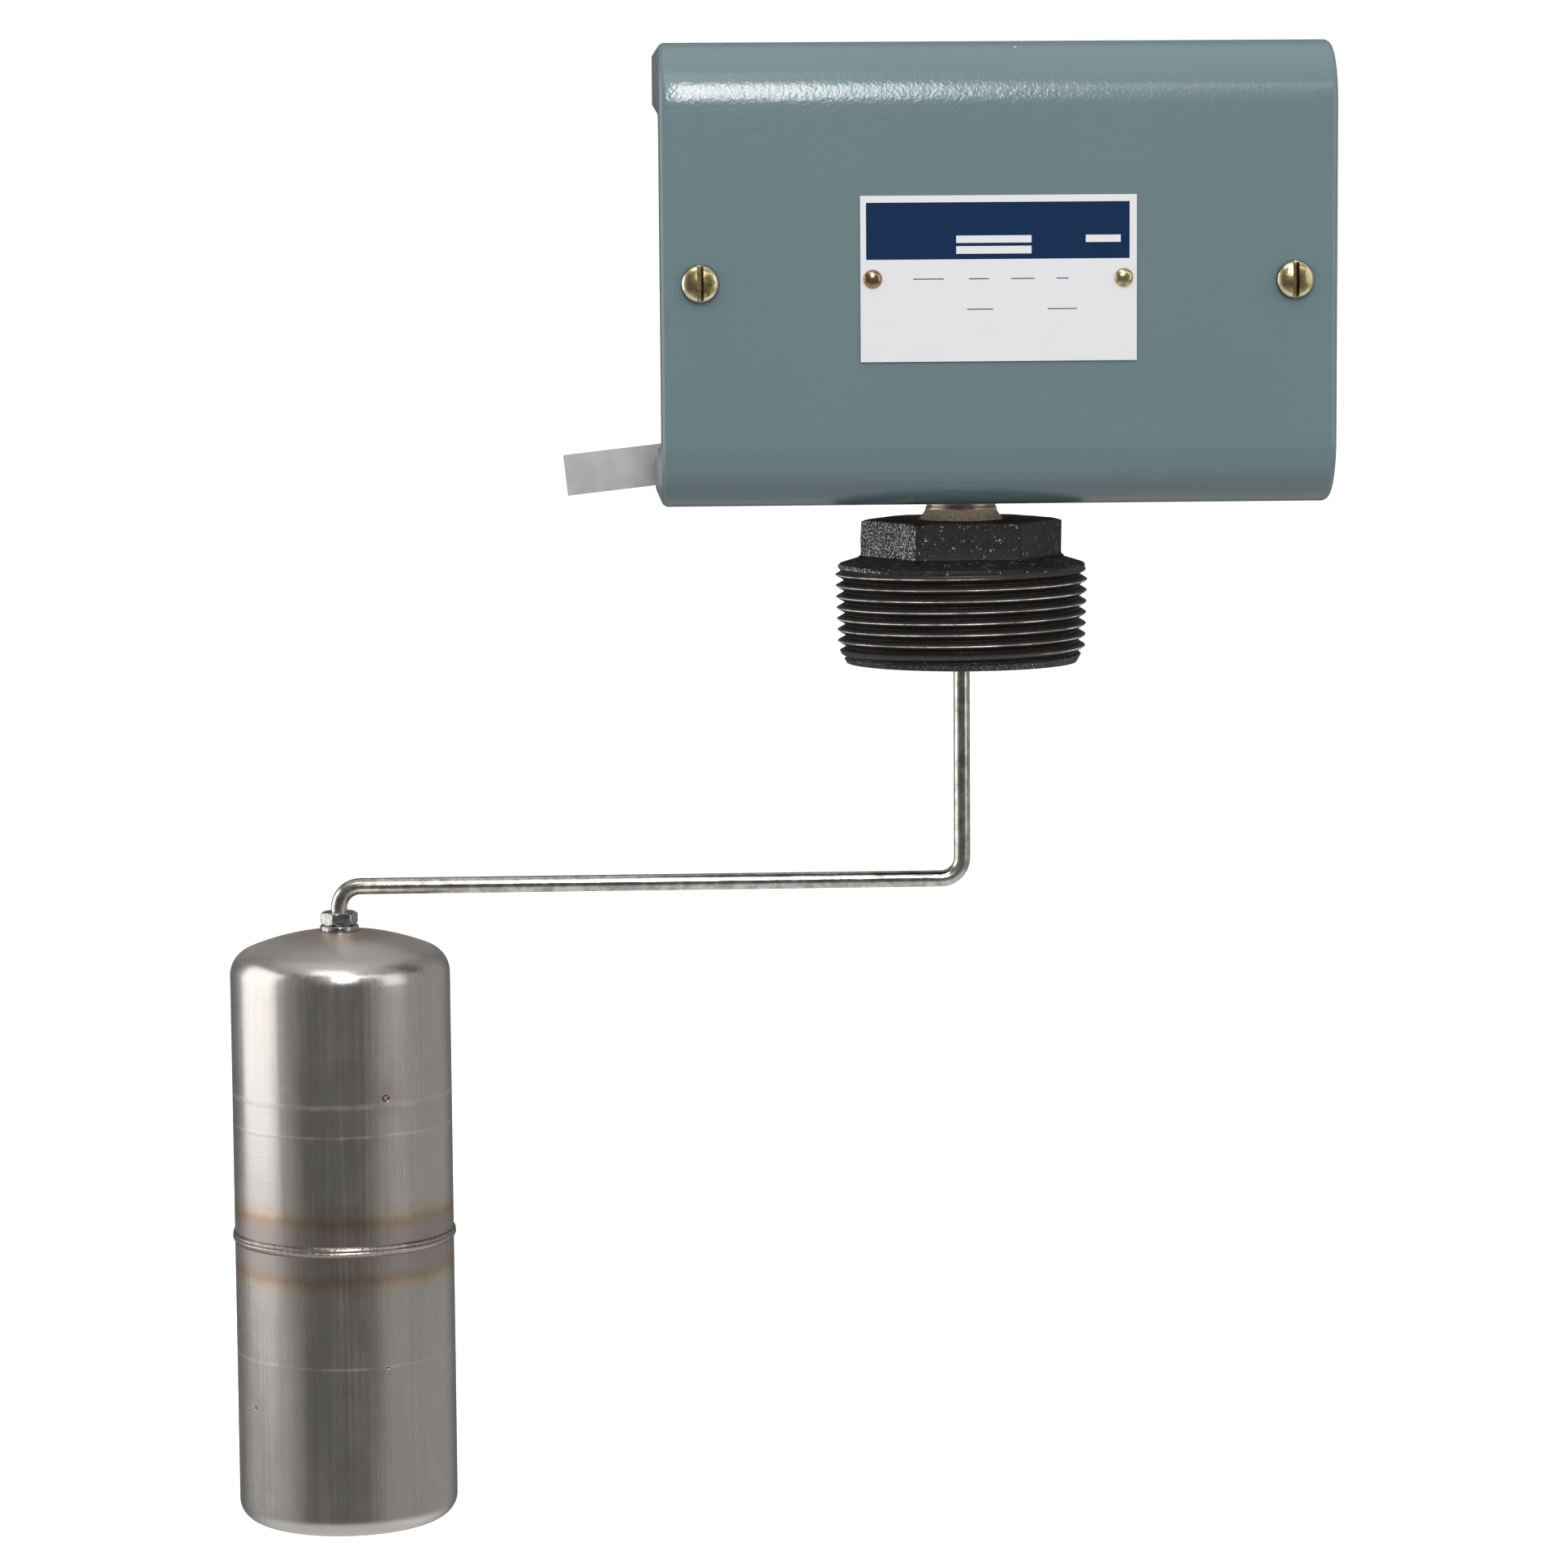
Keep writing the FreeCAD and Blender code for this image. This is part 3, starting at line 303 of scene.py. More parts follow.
class Shader(Tree):
    """A material's tree, with its Principled surface and object coordinates in millimetres."""

    def __init__(self, name: str) -> None:
        """Starts a material of that name."""
        self.material = bpy.data.materials.new(name)
        super().__init__(self.material)
        self.surface = self.tree.nodes["Principled BSDF"]
        self.place = self.scaled(self.node("ShaderNodeTexCoord", {}, {}, "Object"), (1 / MM,) * 3)
        self.x, self.y, self.z = self.parts(self.place)

    def scaled(self, place: Value, scale: Place) -> Value:
        """Place times a scale along each axis."""
        return self.node("ShaderNodeVectorMath", {"operation": "MULTIPLY"}, {0: place, 1: scale})

    def grain(self, size: float, kind: Grain = Grain.CLOUD, detail: float = 3.0,
              rough: float = 0.55, stretch: Place = (1.0, 1.0, 1.0), shift: float = 0.0) -> Value:
        """Texture value with features of a size in millimetres.

        Args:
            size: size of a feature.
            kind: clouds or cells.
            detail: number of finer layers.
            rough: weight of the finer layers.
            stretch: pace along each axis, below 1 where features are longer.
            shift: moves the pattern, so two of one size differ.

        Returns:
            Clouds around 0.5, or the distance to the nearest cell centre.
        """
        place = self.scaled(self.place, tuple(pace / size for pace in stretch))
        place = self.node("ShaderNodeVectorMath", {"operation": "ADD"},
                          {0: place, 1: (shift, shift * 0.7, -shift)})
        inputs = {"Vector": place, "Scale": 1.0, "Detail": detail, "Roughness": rough}
        return self.node(kind.value, {}, inputs)

    def blend(self, first: Tint, second: Tint, share: Number, mode: str = "MIX") -> Value:
        """Colour between the first and the second by share."""
        return self.node("ShaderNodeMix", {"data_type": "RGBA", "blend_type": mode},
                         {0: share, 6: first, 7: second}, 2)

    def over(self, tint: Tint, share: Number, mode: str = "MIX") -> None:
        """Lays a tint over the surface's colour by share."""
        self.colour = self.blend(self.colour, tint, share, mode)

    def stain(self, tint: Tint, share: Number) -> None:
        """Multiplies the surface's colour by a tint, by share."""
        self.over(tint, share, "MULTIPLY")

    def relief(self, height: Value, depth: float) -> Value:
        """Bump from a height between 0 and 1 that stands for depth millimetres."""
        return self.node("ShaderNodeBump", {},
                         {"Height": height, "Strength": 1.0, "Distance": depth * MM})

    def finish(self, roughness: Number, metallic: Number, relief: Value, **more: float) -> Material:
        """Feeds the surface its colour, roughness, metal, relief and further constants."""
        self.feed(self.surface, {"Base Color": self.colour, "Roughness": roughness,
                                 "Metallic": metallic, "Normal": relief, **more})
        return self.material


class Finish:
    """A finish makes its material once and hands out the same one after that."""

    made: dict["Finish", Material] = {}

    def material(self) -> Material:
        """The finish's material."""
        if self not in Finish.made:
            Finish.made[self] = self.make(Shader(self.name))
        return Finish.made[self]

    def make(self, s: Shader) -> Material:
        """Builds the material."""
        raise NotImplementedError


@dataclass(frozen=True)
class Enamel(Finish):
    """Sprayed enamel: slow drift of tone, fine orange peel, a few dark specks of dust."""

    name: str = "blue_grey_enamel"
    colour: Colour = (0.099, 0.145, 0.156)
    drift: float = 0.05
    peel: float = 1.0
    peel_depth: float = 0.060
    gloss: float = 0.18

    def make(self, s: Shader) -> Material:
        """Tone from wide clouds, roughness from fine ones, relief from both sizes of peel."""
        tone = s.grain(60.0, detail=2.0)
        light = tuple(c * (1 + self.drift) for c in self.colour)
        dark = tuple(c * (1 - self.drift) for c in self.colour)
        s.colour = s.blend(dark, light, tone)
        speck = s.grain(21.0, Grain.CELLS, 0.0).rise(0.020, 0.012)
        s.over((0.45, 0.47, 0.48), speck)
        peel = s.grain(self.peel, detail=2.0) + s.grain(self.peel * 3.2, detail=1.0) * 0.8
        rough = self.gloss + (s.grain(0.7) - 0.5) * 0.10 + (s.grain(22.0) - 0.5) * 0.06
        return s.finish(rough, 0.0, s.relief(peel, self.peel_depth))


@dataclass(frozen=True)
class Plated(Finish):
    """Plated or drawn metal: tone clouds, fine scratches along one axis, dull patches."""

    name: str
    colour: Colour
    shade: Colour
    rough: float = 0.34
    size: float = 3.0
    stretch: Place = (1.0, 1.0, 1.0)
    depth: float = 0.01
    metal: float = 1.0

    def make(self, s: Shader) -> Material:
        """Colour between bright and shade, roughness from scratches and patches."""
        patch = s.grain(self.size, detail=4.0)
        scratch = s.grain(0.35, detail=2.0, stretch=self.stretch, shift=3.0)
        s.colour = s.blend(self.shade, self.colour, patch.rise(0.3, 0.7))
        rough = self.rough + (scratch - 0.5) * 0.22 + (patch - 0.5) * 0.2
        return s.finish(rough, self.metal, s.relief(scratch, self.depth))


@dataclass(frozen=True)
class Passivate(Finish):
    """Yellow zinc: gold with green and rosy patches; a screw head gets a painted rim highlight and
    painted shade.
    """

    name: str = "yellow_zinc"
    gold: Colour = (0.66, 0.55, 0.30)
    green: Colour = (0.40, 0.42, 0.20)
    rose: Colour = (0.62, 0.38, 0.27)
    rim_highlight: Colour = (0.90, 0.82, 0.62)
    heads: tuple[Place, ...] = ()

    def make(self, s: Shader) -> Material:
        """Two clouds pick the tint, a finer one the dark grime.

        A head, given as x and z of its middle and its radius, has a painted rim highlight and
        painted shade.
        """
        s.colour = s.blend(self.gold, self.green, s.grain(2.6).rise(0.45, 0.7))
        s.over(self.rose, s.grain(3.4, shift=5.0).rise(0.55, 0.75))
        grime = s.grain(0.8, detail=4.0, shift=9.0)
        s.stain((0.34, 0.29, 0.22), grime.rise(0.50, 0.68))
        for x, z, radius in self.heads:
            away = ((s.x - x) ** 2.0 + (s.z - z) ** 2.0) ** 0.5
            inside = away.rise(radius + 0.6, radius + 0.5)
            rim = inside * away.rise(radius - 1.4, radius - 1.0)
            edge = away.rise(radius - 0.45, radius - 0.15) * inside
            slot = inside * abs(s.x - x - 0.55).rise(0.42, 0.26)
            # Painted light on the head: shade over the dome's middle, a highlight round the rim,
            # shade at the outer edge and shade on the slot's right wall.
            s.stain((0.90, 0.86, 0.78), inside * away.rise(radius - 0.9, radius - 1.4))
            s.over(self.rim_highlight, rim * 0.7)
            s.stain((0.30, 0.26, 0.20), edge)
            s.stain((0.16, 0.13, 0.10), slot * away.rise(radius - 0.3, radius - 0.7))
        rough = 0.10 + grime * 0.28
        return s.finish(rough, 1.0, s.relief(grime, 0.03))


@dataclass(frozen=True)
class CastIron(Finish):
    """Cast iron under oil: one flank sandy with painted glints, the others smoother, one of them
    painted a lit grey, rust dust on what faces up.
    """

    name: str = "cast_iron_skin"
    iron: Colour = (0.026, 0.024, 0.025)
    grey: Colour = (0.046, 0.045, 0.047)
    rust: Colour = (0.130, 0.058, 0.036)
    glint: Colour = (0.72, 0.69, 0.68)

    def make(self, s: Shader) -> Material:
        """Painted glints from fine clouds, rust from the surface's upward slope and clouds."""
        across, _, up = s.parts(s.node("ShaderNodeNewGeometry", {}, {}, "True Normal"))
        flank, lit_right_flank = across.rise(-0.60, -0.78), across.rise(0.60, 0.78)
        cloud = s.grain(4.0, detail=5.0)
        sand = s.grain(0.55, detail=3.0, rough=0.7)
        dust = up.rise(0.85, 0.98) * cloud.rise(0.32, 0.54) * s.z.rise(39.0, 40.5)
        # Painted light: the right-facing flank takes the lighter grey, so it reads lighter than the
        # front.
        s.colour = s.blend(s.blend(self.iron, self.grey, lit_right_flank), self.rust, dust)
        s.stain((0.30, 0.28, 0.27), sand.rise(0.56, 0.36))
        grit = s.grain(0.50, detail=2.0, rough=0.7, shift=6.0)
        # Painted glints: bright grains on the left-facing flank, where the light falls, and bright
        # chips of bare metal that also stand in for glints.
        chips = grit.rise(0.60, 0.66) * s.grain(2.2, shift=2.0).rise(0.55, 0.62)
        glints = chips.largest(grit.rise(0.52, 0.60) * flank)
        s.over(self.glint, glints)
        rough = 0.56 - glints * 0.20 + (sand - 0.5) * 0.3
        relief = s.relief((sand * 0.8 + cloud * 0.9 + grit * 0.6) * (flank * 0.5 + 0.5), 0.34)
        return s.finish(rough, 0.50 - dust * 0.4 - glints * 0.2, relief)


@dataclass(frozen=True)
class CutThread(Finish):
    """Oiled, blackened thread whose worn crests carry near-white lines of painted highlight."""

    name: str = "cut_thread"
    crest: float = 35.55
    taper: float = 1 / 32
    dark: Colour = (0.022, 0.020, 0.019)
    oiled: Colour = (0.062, 0.050, 0.042)
    bright: Colour = (0.93, 0.91, 0.88)

    def make(self, s: Shader) -> Material:
        """Depth below the crest cone picks the painted highlight line, oiled flank or dark root."""
        radius = (s.x ** 2.0 + s.y ** 2.0) ** 0.5
        below = self.crest + s.z * self.taper - radius
        wear = s.grain(5.0, detail=4.0)
        fine = s.grain(0.5, detail=3.0, shift=4.0)
        line = (below + (wear - 0.5) * 0.22).rise(0.16, 0.07)
        lead = s.z.rise(3.0, 1.6) * fine.rise(0.55, 0.7) * 0.35
        patch = s.grain(9.0, shift=8.0).rise(0.38, 0.58) * 0.65 + 0.35
        rubbed_and_highlit = line.largest(lead) * fine.rise(0.25, 0.45) * patch
        s.colour = s.blend(self.oiled, self.dark, (below + (wear - 0.5) * 1.4).rise(0.2, 1.5))
        chips = s.grain(0.6, Grain.CELLS, 0.0).rise(0.20, 0.08) * wear.rise(0.44, 0.60)
        s.over((0.34, 0.31, 0.28), chips)
        # Painted highlight: the worn crest lines and the worn specks on the lead are laid on
        # near-white.
        s.over(self.bright, rubbed_and_highlit)
        rough = 0.42 - rubbed_and_highlit * 0.2 + (fine - 0.5) * 0.3
        return s.finish(rough, 0.50 - rubbed_and_highlit * 0.25, s.relief(fine + wear, 0.05))


@dataclass(frozen=True)
class Braze(Finish):
    """Brazed fillet: rough gold with rosy flux stains and dark pits."""

    name: str = "braze_metal"
    gold: Colour = (0.98, 0.84, 0.58)
    rose: Colour = (0.95, 0.68, 0.54)

    def make(self, s: Shader) -> Material:
        """Stain from a slow cloud, pits from a fine one."""
        s.colour = s.blend(self.gold, self.rose, s.grain(5.0).rise(0.42, 0.66))
        pits = s.grain(0.6, detail=4.0, rough=0.7)
        s.stain((0.14, 0.10, 0.08), pits.rise(0.56, 0.64))
        return s.finish(0.30 + (pits - 0.5) * 0.5, 0.15, s.relief(pits, 0.45))


@dataclass(frozen=True)
class Stainless(Finish):
    """Drawn stainless: streaks down the wall, fine rings round it, tint beside weld and boss."""

    name: str = "drawn_stainless"
    weld: float = -164.2
    crown: float = -75.6
    bright: Colour = (0.640, 0.615, 0.590)
    warm: Colour = (0.540, 0.500, 0.465)
    straw: Colour = (0.62, 0.47, 0.31)
    brown: Colour = (0.40, 0.29, 0.215)
    drawn_light: Colour = (0.80, 0.78, 0.75)
    dent: Place = (-166.9, -28.7, -120.2)
    violet: Colour = (0.42, 0.38, 0.37)
    rings: tuple[Pair, ...] = ((-122.4, 1.3), (-131.2, 0.7), (-198.0, 0.7))

    def make(self, s: Shader) -> Material:
        """Streaks, blotches and rings set tone and roughness; height over the weld the tint."""
        streak = s.grain(0.9, detail=5.0, stretch=(1.0, 1.0, 0.015))
        wide = s.grain(14.0, detail=4.0, stretch=(1.0, 1.0, 0.3), shift=7.0)
        blotch = s.grain(7.0, detail=4.0, shift=3.0)
        fine = s.grain(0.7, detail=3.0, stretch=(0.01, 0.01, 1.0))
        s.colour = s.blend(self.warm, self.bright, streak * 0.4 + wide * 0.4 + blotch * 0.2)
        drawn = 0.0
        for height, width in self.rings:
            drawn = drawn + abs(s.z + s.grain(30.0) - 0.5 - height).rise(width, 0.0)
        drawn = drawn * (blotch.rise(0.30, 0.70) * 0.7 + 0.3)
        s.over(self.drawn_light, drawn * 0.18)
        away = abs(s.z - self.weld) + (s.grain(9.0, stretch=(1.0, 1.0, 0.2)) - 0.5) * 3.5
        s.over(self.straw, away.rise(15.0, 9.5) * 0.60)
        s.over(self.brown, away.rise(11.0, 8.0) * 0.70)
        s.over(self.violet, away.rise(8.2, 5.0) * 0.85)
        boss = s.z.rise(self.crown - 3.2, self.crown - 0.6)
        s.over(self.brown, boss * 0.55)
        pits = s.grain(19.0, Grain.CELLS, 0.0, shift=1.0).rise(0.035, 0.015)
        s.stain((0.30, 0.28, 0.26), pits)
        knock = sum((axis - at) ** 2.0 for axis, at in zip((s.x, s.y, s.z), self.dent)) ** 0.5
        s.over(self.brown, knock.rise(8.0, 1.0) * 0.30)
        # Painted shade: a dark ring on the walls inside the dent's crater.
        crater = knock.rise(1.3, 0.8)
        s.stain((0.16, 0.14, 0.12), crater * knock.rise(0.5, 0.8))
        rough = (0.25 + (streak - 0.5) * 0.18 + (wide - 0.5) * 0.14 + (blotch - 0.5) * 0.10
                 + drawn * 0.12 + away.rise(10.0, 5.0) * 0.08 + s.z.rise(-85.0, -80.0) * 0.20)
        height = (streak * 0.5 + fine * 0.25 + wide * 1.2 + blotch * 0.5 + drawn * 0.5
                  - pits * 6.0 - crater * 12.0)
        return s.finish(rough, 1.0, s.relief(height, 0.030))


@dataclass(frozen=True)
class WeldMetal(Finish):
    """Weld metal: scaled ripples, with painted shade along its edges and in its lap groove."""

    name: str = "weld_metal"
    centre: float = -164.2
    bright: Colour = (0.52, 0.46, 0.41)
    crease_shade: Colour = (0.16, 0.12, 0.10)

    def make(self, s: Shader) -> Material:
        """Painted shade grows with distance from the bead's middle and lies in the lap groove."""
        scale = s.grain(1.0, detail=4.0)
        edge = (abs(s.z - self.centre) + (scale - 0.5) * 0.8).rise(0.5, 1.3)
        lap = abs(s.z - self.centre - 0.19).rise(0.34, 0.12)
        # Painted shade in the creases along the bead's edges and in the lap groove.
        s.colour = s.blend(self.bright, self.crease_shade, edge.largest(lap) * 0.85)
        return s.finish(0.16 + scale * 0.25, 1.0, s.relief(scale, 0.10))


@dataclass(frozen=True)
class Sheet(Finish):
    """Thin painted or printed sheet: flat tone with faint mottling."""

    name: str
    colour: Colour
    rough: float = 0.42
    mottle: float = 0.03
    shine: float = 0.5

    def make(self, s: Shader) -> Material:
        """Mottled tone and roughness."""
        cloud = s.grain(7.0, detail=4.0)
        dark = tuple(c * (1 - self.mottle) for c in self.colour)
        fine = s.grain(0.6, detail=2.0)
        s.colour = s.blend(dark, self.colour, cloud)
        return s.finish(self.rough + (fine - 0.5) * 0.1, 0.0, s.relief(fine, 0.004),
                        **{"Specular IOR Level": self.shine})


@dataclass(frozen=True)
class Moulding(Finish):
    """Thermoset moulding: filler flecks and a faintly grained skin."""

    name: str
    colour: Colour
    fleck: Colour
    rough: float = 0.5

    def make(self, s: Shader) -> Material:
        """Flecks from cells over a slow cloud."""
        flecks = s.grain(1.1, Grain.CELLS, 0.0).rise(0.22, 0.08)
        cloud = s.grain(9.0)
        s.colour = s.blend(self.colour, self.fleck, flecks * 0.5 + cloud * 0.2)
        skin = s.grain(0.5, detail=2.0)
        return s.finish(self.rough + (skin - 0.5) * 0.2, 0.0, s.relief(skin, 0.03))


BLUE_ENAMEL = Enamel()
GREY_ENAMEL = Enamel("grey_enamel", (0.58, 0.60, 0.61), 0.03, 1.5, 0.010, 0.36)
YELLOW_ZINC = Passivate()
# Its two heads carry painted light: a rim highlight, and shade in the middle, at the edge and in
# the slot.
COVER_SCREW = Passivate("cover_screw_zinc", heads=((-76.0, 109.6, 5.3), (89.4, 109.6, 5.3)))
COPPER_RIVET = Passivate("copper_rivet", (0.44, 0.28, 0.17), (0.34, 0.22, 0.13), (0.50, 0.31, 0.22))
BRASS_RIVET = Passivate("brass_rivet", (0.66, 0.56, 0.30), (0.50, 0.44, 0.22), (0.55, 0.42, 0.25))
ZINC = Plated("zinc_plate", (0.62, 0.63, 0.64), (0.45, 0.46, 0.47), 0.38, 4.0, depth=0.006)
STRAP = Plated("zinc_strap", (0.49, 0.48, 0.49), (0.43, 0.42, 0.43), 0.55, 6.0,
               depth=0.006, metal=0.55)
TURNED = Plated("turned_steel", (0.55, 0.54, 0.53), (0.30, 0.29, 0.28), 0.20, 1.2, (0.1, 0.1, 1.0))
ROD = Plated("drawn_rod", (0.72, 0.70, 0.66), (0.42, 0.39, 0.35), 0.17, 3.0,
             (0.05, 1.0, 0.05), 0.008)
TUBE = Plated("nipple_tube", (0.66, 0.60, 0.48), (0.40, 0.35, 0.27), 0.34, 2.0,
              (0.1, 0.1, 1.0), metal=0.8)
COPPER = Plated("contact_copper", (0.66, 0.34, 0.21), (0.42, 0.21, 0.13), 0.34, 2.0)
BRASS = Plated("contact_brass", (0.68, 0.52, 0.24), (0.44, 0.33, 0.15), 0.32, 2.0)
SPRING = Plated("spring_wire", (0.40, 0.40, 0.41), (0.24, 0.24, 0.25), 0.30, 1.0)
GREEN = Plated("green_screw_dye", (0.05, 0.30, 0.10), (0.03, 0.16, 0.06), 0.36, 1.5, metal=0.7)
RUBBER = Moulding("seal_rubber", (0.018, 0.018, 0.018), (0.05, 0.05, 0.05), 0.7)
BLACK_MOULDING = Moulding("black_moulding", (0.030, 0.028, 0.026), (0.09, 0.08, 0.07), 0.42)
BROWN_MOULDING = Moulding("brown_moulding", (0.13, 0.065, 0.035), (0.28, 0.17, 0.10), 0.45)
PLATE_WHITE = Sheet("plate_white", (0.52, 0.52, 0.53), 0.38, 0.03, 0.3)
PLATE_NAVY = Sheet("plate_navy", (0.0032, 0.0175, 0.058), 0.42, 0.08, 0.08)
IRON, THREAD, BRAZE = CastIron(), CutThread(), Braze()
STAINLESS, WELD = Stainless(), WeldMetal()


# ---- the switch
def corners(node: str) -> tuple[Grid, Grid]:
    """Lowest and highest corner of a CAD node, in millimetres."""
    low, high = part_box(node)
    return np.array(low) / MM, np.array(high) / MM


def dress(finishes: dict[Finish, str]) -> None:
    """Gives CAD nodes their finishes.

    Args:
        finishes: the nodes' names, with spaces between them, by finish.
    """
    for finish, nodes in finishes.items():
        for node in nodes.split():
            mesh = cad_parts[node].data
            if mesh.materials:
                mesh.materials[0] = finish.material()
            else:
                mesh.materials.append(finish.material())
            LOG.info("%s dressed in %s", node, finish.name)


@dataclass
class Housing:
    """Sheet-metal cover with its screws and nameplate; the base behind it is the CAD's own.

    The notch's heights are its top at the back and front, then its bottom at the front and back.
    A box of the print is its left, right, bottom and top; a ruled line its left, right and height.
    """

    bend: float = 18.0
    edge: float = 2.0
    sheet: float = 1.5
    notch: tuple[float, ...] = (160.8, 156.6, 62.5, 57.4)
    notch_y: float = -33.0
    notch_corner: float = 6.0
    slot: float = 12.0
    floor_steps: int = 8
    screw_head: float = 5.3
    screw_height: float = 3.4
    screw_slot: float = 0.85
    screw_slot_depth: float = 1.8
    rivet_x: Pair = (-28.2, 41.6)
    rivet_z: float = 110.5
    rivet_height: float = 1.2
    print_depth: float = 0.03
    box_depth: float = 0.05
    boxes: tuple[tuple[float, ...], ...] = (
        (-5.0, 15.9, 120.3, 122.3), (-5.0, 15.9, 117.3, 119.4), (31.0, 40.7, 120.3, 122.3))
    rules: tuple[Place, ...] = (
        (-17.0, -8.5, 110.4), (-1.5, 4.0, 110.4), (10.2, 16.8, 110.4), (22.8, 26.2, 110.4),
        (-2.0, 5.2, 102.0), (20.4, 28.6, 102.0))
    rule_half: float = 0.13

    def side_outline(self, front: float, back: float, ends: tuple[float, ...],
                     radius: float) -> Grid:
        """Outline of the side, from the back's top round the front to the back's bottom.

        Every outline has the same number of points in each run, so two of them rule a surface.

        Args:
            front: y of the front.
            back: y of the back.
            ends: heights of the top at the back, top at the front, bottom at the front and
                bottom at the back.
            radius: radius of the two corners.

        Returns:
            Rows of y and z.
        """
        top_back, top, bottom, bottom_back = ends
        turn, high, low = front + radius, top - radius, bottom + radius
        return join(straight((back, top_back), (turn, top), 12),
                    arc((turn, high), radius, 90, 180, 19)[1:],
                    straight((front, high), (front, low), 24)[1:],
                    arc((turn, low), radius, 180, 270, 19)[1:],
                    straight((turn, bottom), (0.0, bottom), self.floor_steps)[1:],
                    straight((0.0, bottom), (back, bottom_back), self.floor_steps)[1:])

    def cover(self) -> None:
        """Bent skin with rounded ends, notched sides and a slotted floor, given its thickness.

        Columns near an end slide from the outer outline to one set inwards, by the end's arc.
        """
        (left, front, bottom), (right, back, top) = corners("cover")
        rim = arc((0.0, 0.0), self.edge, 0, 90, 8)
        round_slot = self.slot * np.sin(np.radians(straight(-90, 90, 17)))
        even = straight(left + self.edge, right - self.edge, 40)
        across = np.unique(np.concatenate([even, round_slot]))[1:-1]
        x = np.concatenate([left + self.edge - rim[:, 0], across,
                            (right - self.edge + rim[:, 0])[::-1]])
        inset = np.concatenate([self.edge - rim[:, 1], 0 * across, (self.edge - rim[:, 1])[::-1]])
        outer, inner = (
            self.side_outline(front + d, back, (top - d, top - d, bottom + d, bottom + d),
                              self.bend - d) for d in (0.0, self.edge))
        share = (inset / self.edge)[:, None]
        grid = np.empty((len(outer), len(x), 3))
        grid[..., 0], grid[..., 1:] = x, outer[:, None] * (1 - share) + inner[:, None] * share
        run = self.floor_steps - 1
        split, last = len(outer) - 2 * run, len(outer) - run
        middle = np.abs(x) <= self.slot + 1e-6
        reach = np.where(middle, -np.sqrt(np.maximum(self.slot ** 2 - x ** 2, 0.0)), 0.0)
        floor = grid[split:last].copy()
        begin = floor[0, :, 1].copy()
        floor[..., 1] = begin + straight(0, 1, len(floor))[:, None] * (reach - begin)
        first, final = np.flatnonzero(middle)[[0, -1]]
        behind = grid[last - 1:]
        skin = Skin("cover_skin").add(grid[:split + 1]).add(floor)
        skin.add(behind[:, :first + 1]).add(behind[:, final:])
        notch = self.side_outline(self.notch_y, back, self.notch, self.notch_corner)
        flange = np.stack([inner, inner * 0.5 + notch * 0.5, notch], 1)
        for side in (left, right):
            skin.add(np.pad(flange, ((0, 0), (0, 0), (1, 0)), constant_values=side))
        skin.build("housing", ("cover",), [BLUE_ENAMEL], "blue_grey_enamel", 30.0, self.sheet)

    @staticmethod
    def heads(node: str, head: Grid, x: Pair, y: float, z: float,
              finishes: tuple[Finish, Finish], slot: str, ring: bool) -> None:
        """A pair of heads on the front: a head's second axis goes up, its third forwards."""
        for number, (at, finish) in enumerate(zip(x, finishes)):
            place = np.stack([at + head[..., 0], y - head[..., 2], z + head[..., 1]], -1)
            Skin(f"{node[:-1]}_{number + 1}").add(place, ring=ring).build(
                "housing", (node,)[number:], [finish], slot, 50.0)

    def screws(self) -> None:
        """Round slotted heads, one at each end of the front."""
        low, high = corners("cover_screws")
        x = (low[0] + self.screw_head, high[0] - self.screw_head)
        self.heads("cover_screws", self.slotted_head(), x, low[1] + self.screw_height,
                   (low[2] + high[2]) / 2, (COVER_SCREW, COVER_SCREW), "brass_screw", False)

    def slotted_head(self) -> Grid:
        """Grid of chords of the head, in its own axes with the slot along the second one.

        Height is the rim plus the rest of the height times the root of one minus the squared
        share of the radius, and the slot's floor where the first coordinate is inside the slot.
        """
        r, half, tall = self.screw_head, self.screw_slot, self.screw_height
        side = np.append(-r * np.cos(np.radians(straight(0, 78, 12))), -half - 0.06)
        x = np.concatenate([side, [-half, half], -side[::-1]])[:, None]
        chord = np.sqrt(np.maximum(r ** 2 - x ** 2, 0.0))
        along = chord * np.sin(np.radians(straight(-90, 90, 25)))
        share = np.minimum((x ** 2 + along ** 2) / r ** 2, 1.0)
        rim = tall * 0.35
        height = rim + (tall - rim) * np.sqrt(1 - share)
        height = np.where(np.abs(x) <= half + 1e-6,
                          np.minimum(height, tall - self.screw_slot_depth), height)
        grid = np.stack([x + 0 * along, along, height], -1)
        foot = grid * [1.0, 1.0, 0.0]
        return np.concatenate([foot[:, :1], grid, foot[:, -1:]], 1)

    def nameplate(self) -> None:
        """Off-white plate with a dark field, blank boxes and thin ruled lines as printed layers."""
        (left, front, bottom), (right, back, top) = corners("nameplate")
        layers, thin = Skin("nameplate_print"), (front - self.print_depth, front)
        self.panel(layers, (left, right), (bottom, top), (front, back), 0)
        self.panel(layers, (left + 1.6, right - 2.0), (top - 17.6, top - 1.9), thin, 1)
        for x0, x1, z0, z1 in self.boxes:
            self.panel(layers, (x0, x1), (z0, z1), (front - self.box_depth, front), 0)
        for x0, x1, z in self.rules:
            self.panel(layers, (x0, x1), (z - self.rule_half, z + self.rule_half), thin, 1)
        layers.build("housing", ("nameplate",), [PLATE_WHITE, PLATE_NAVY], "printed_plate", 30.0)

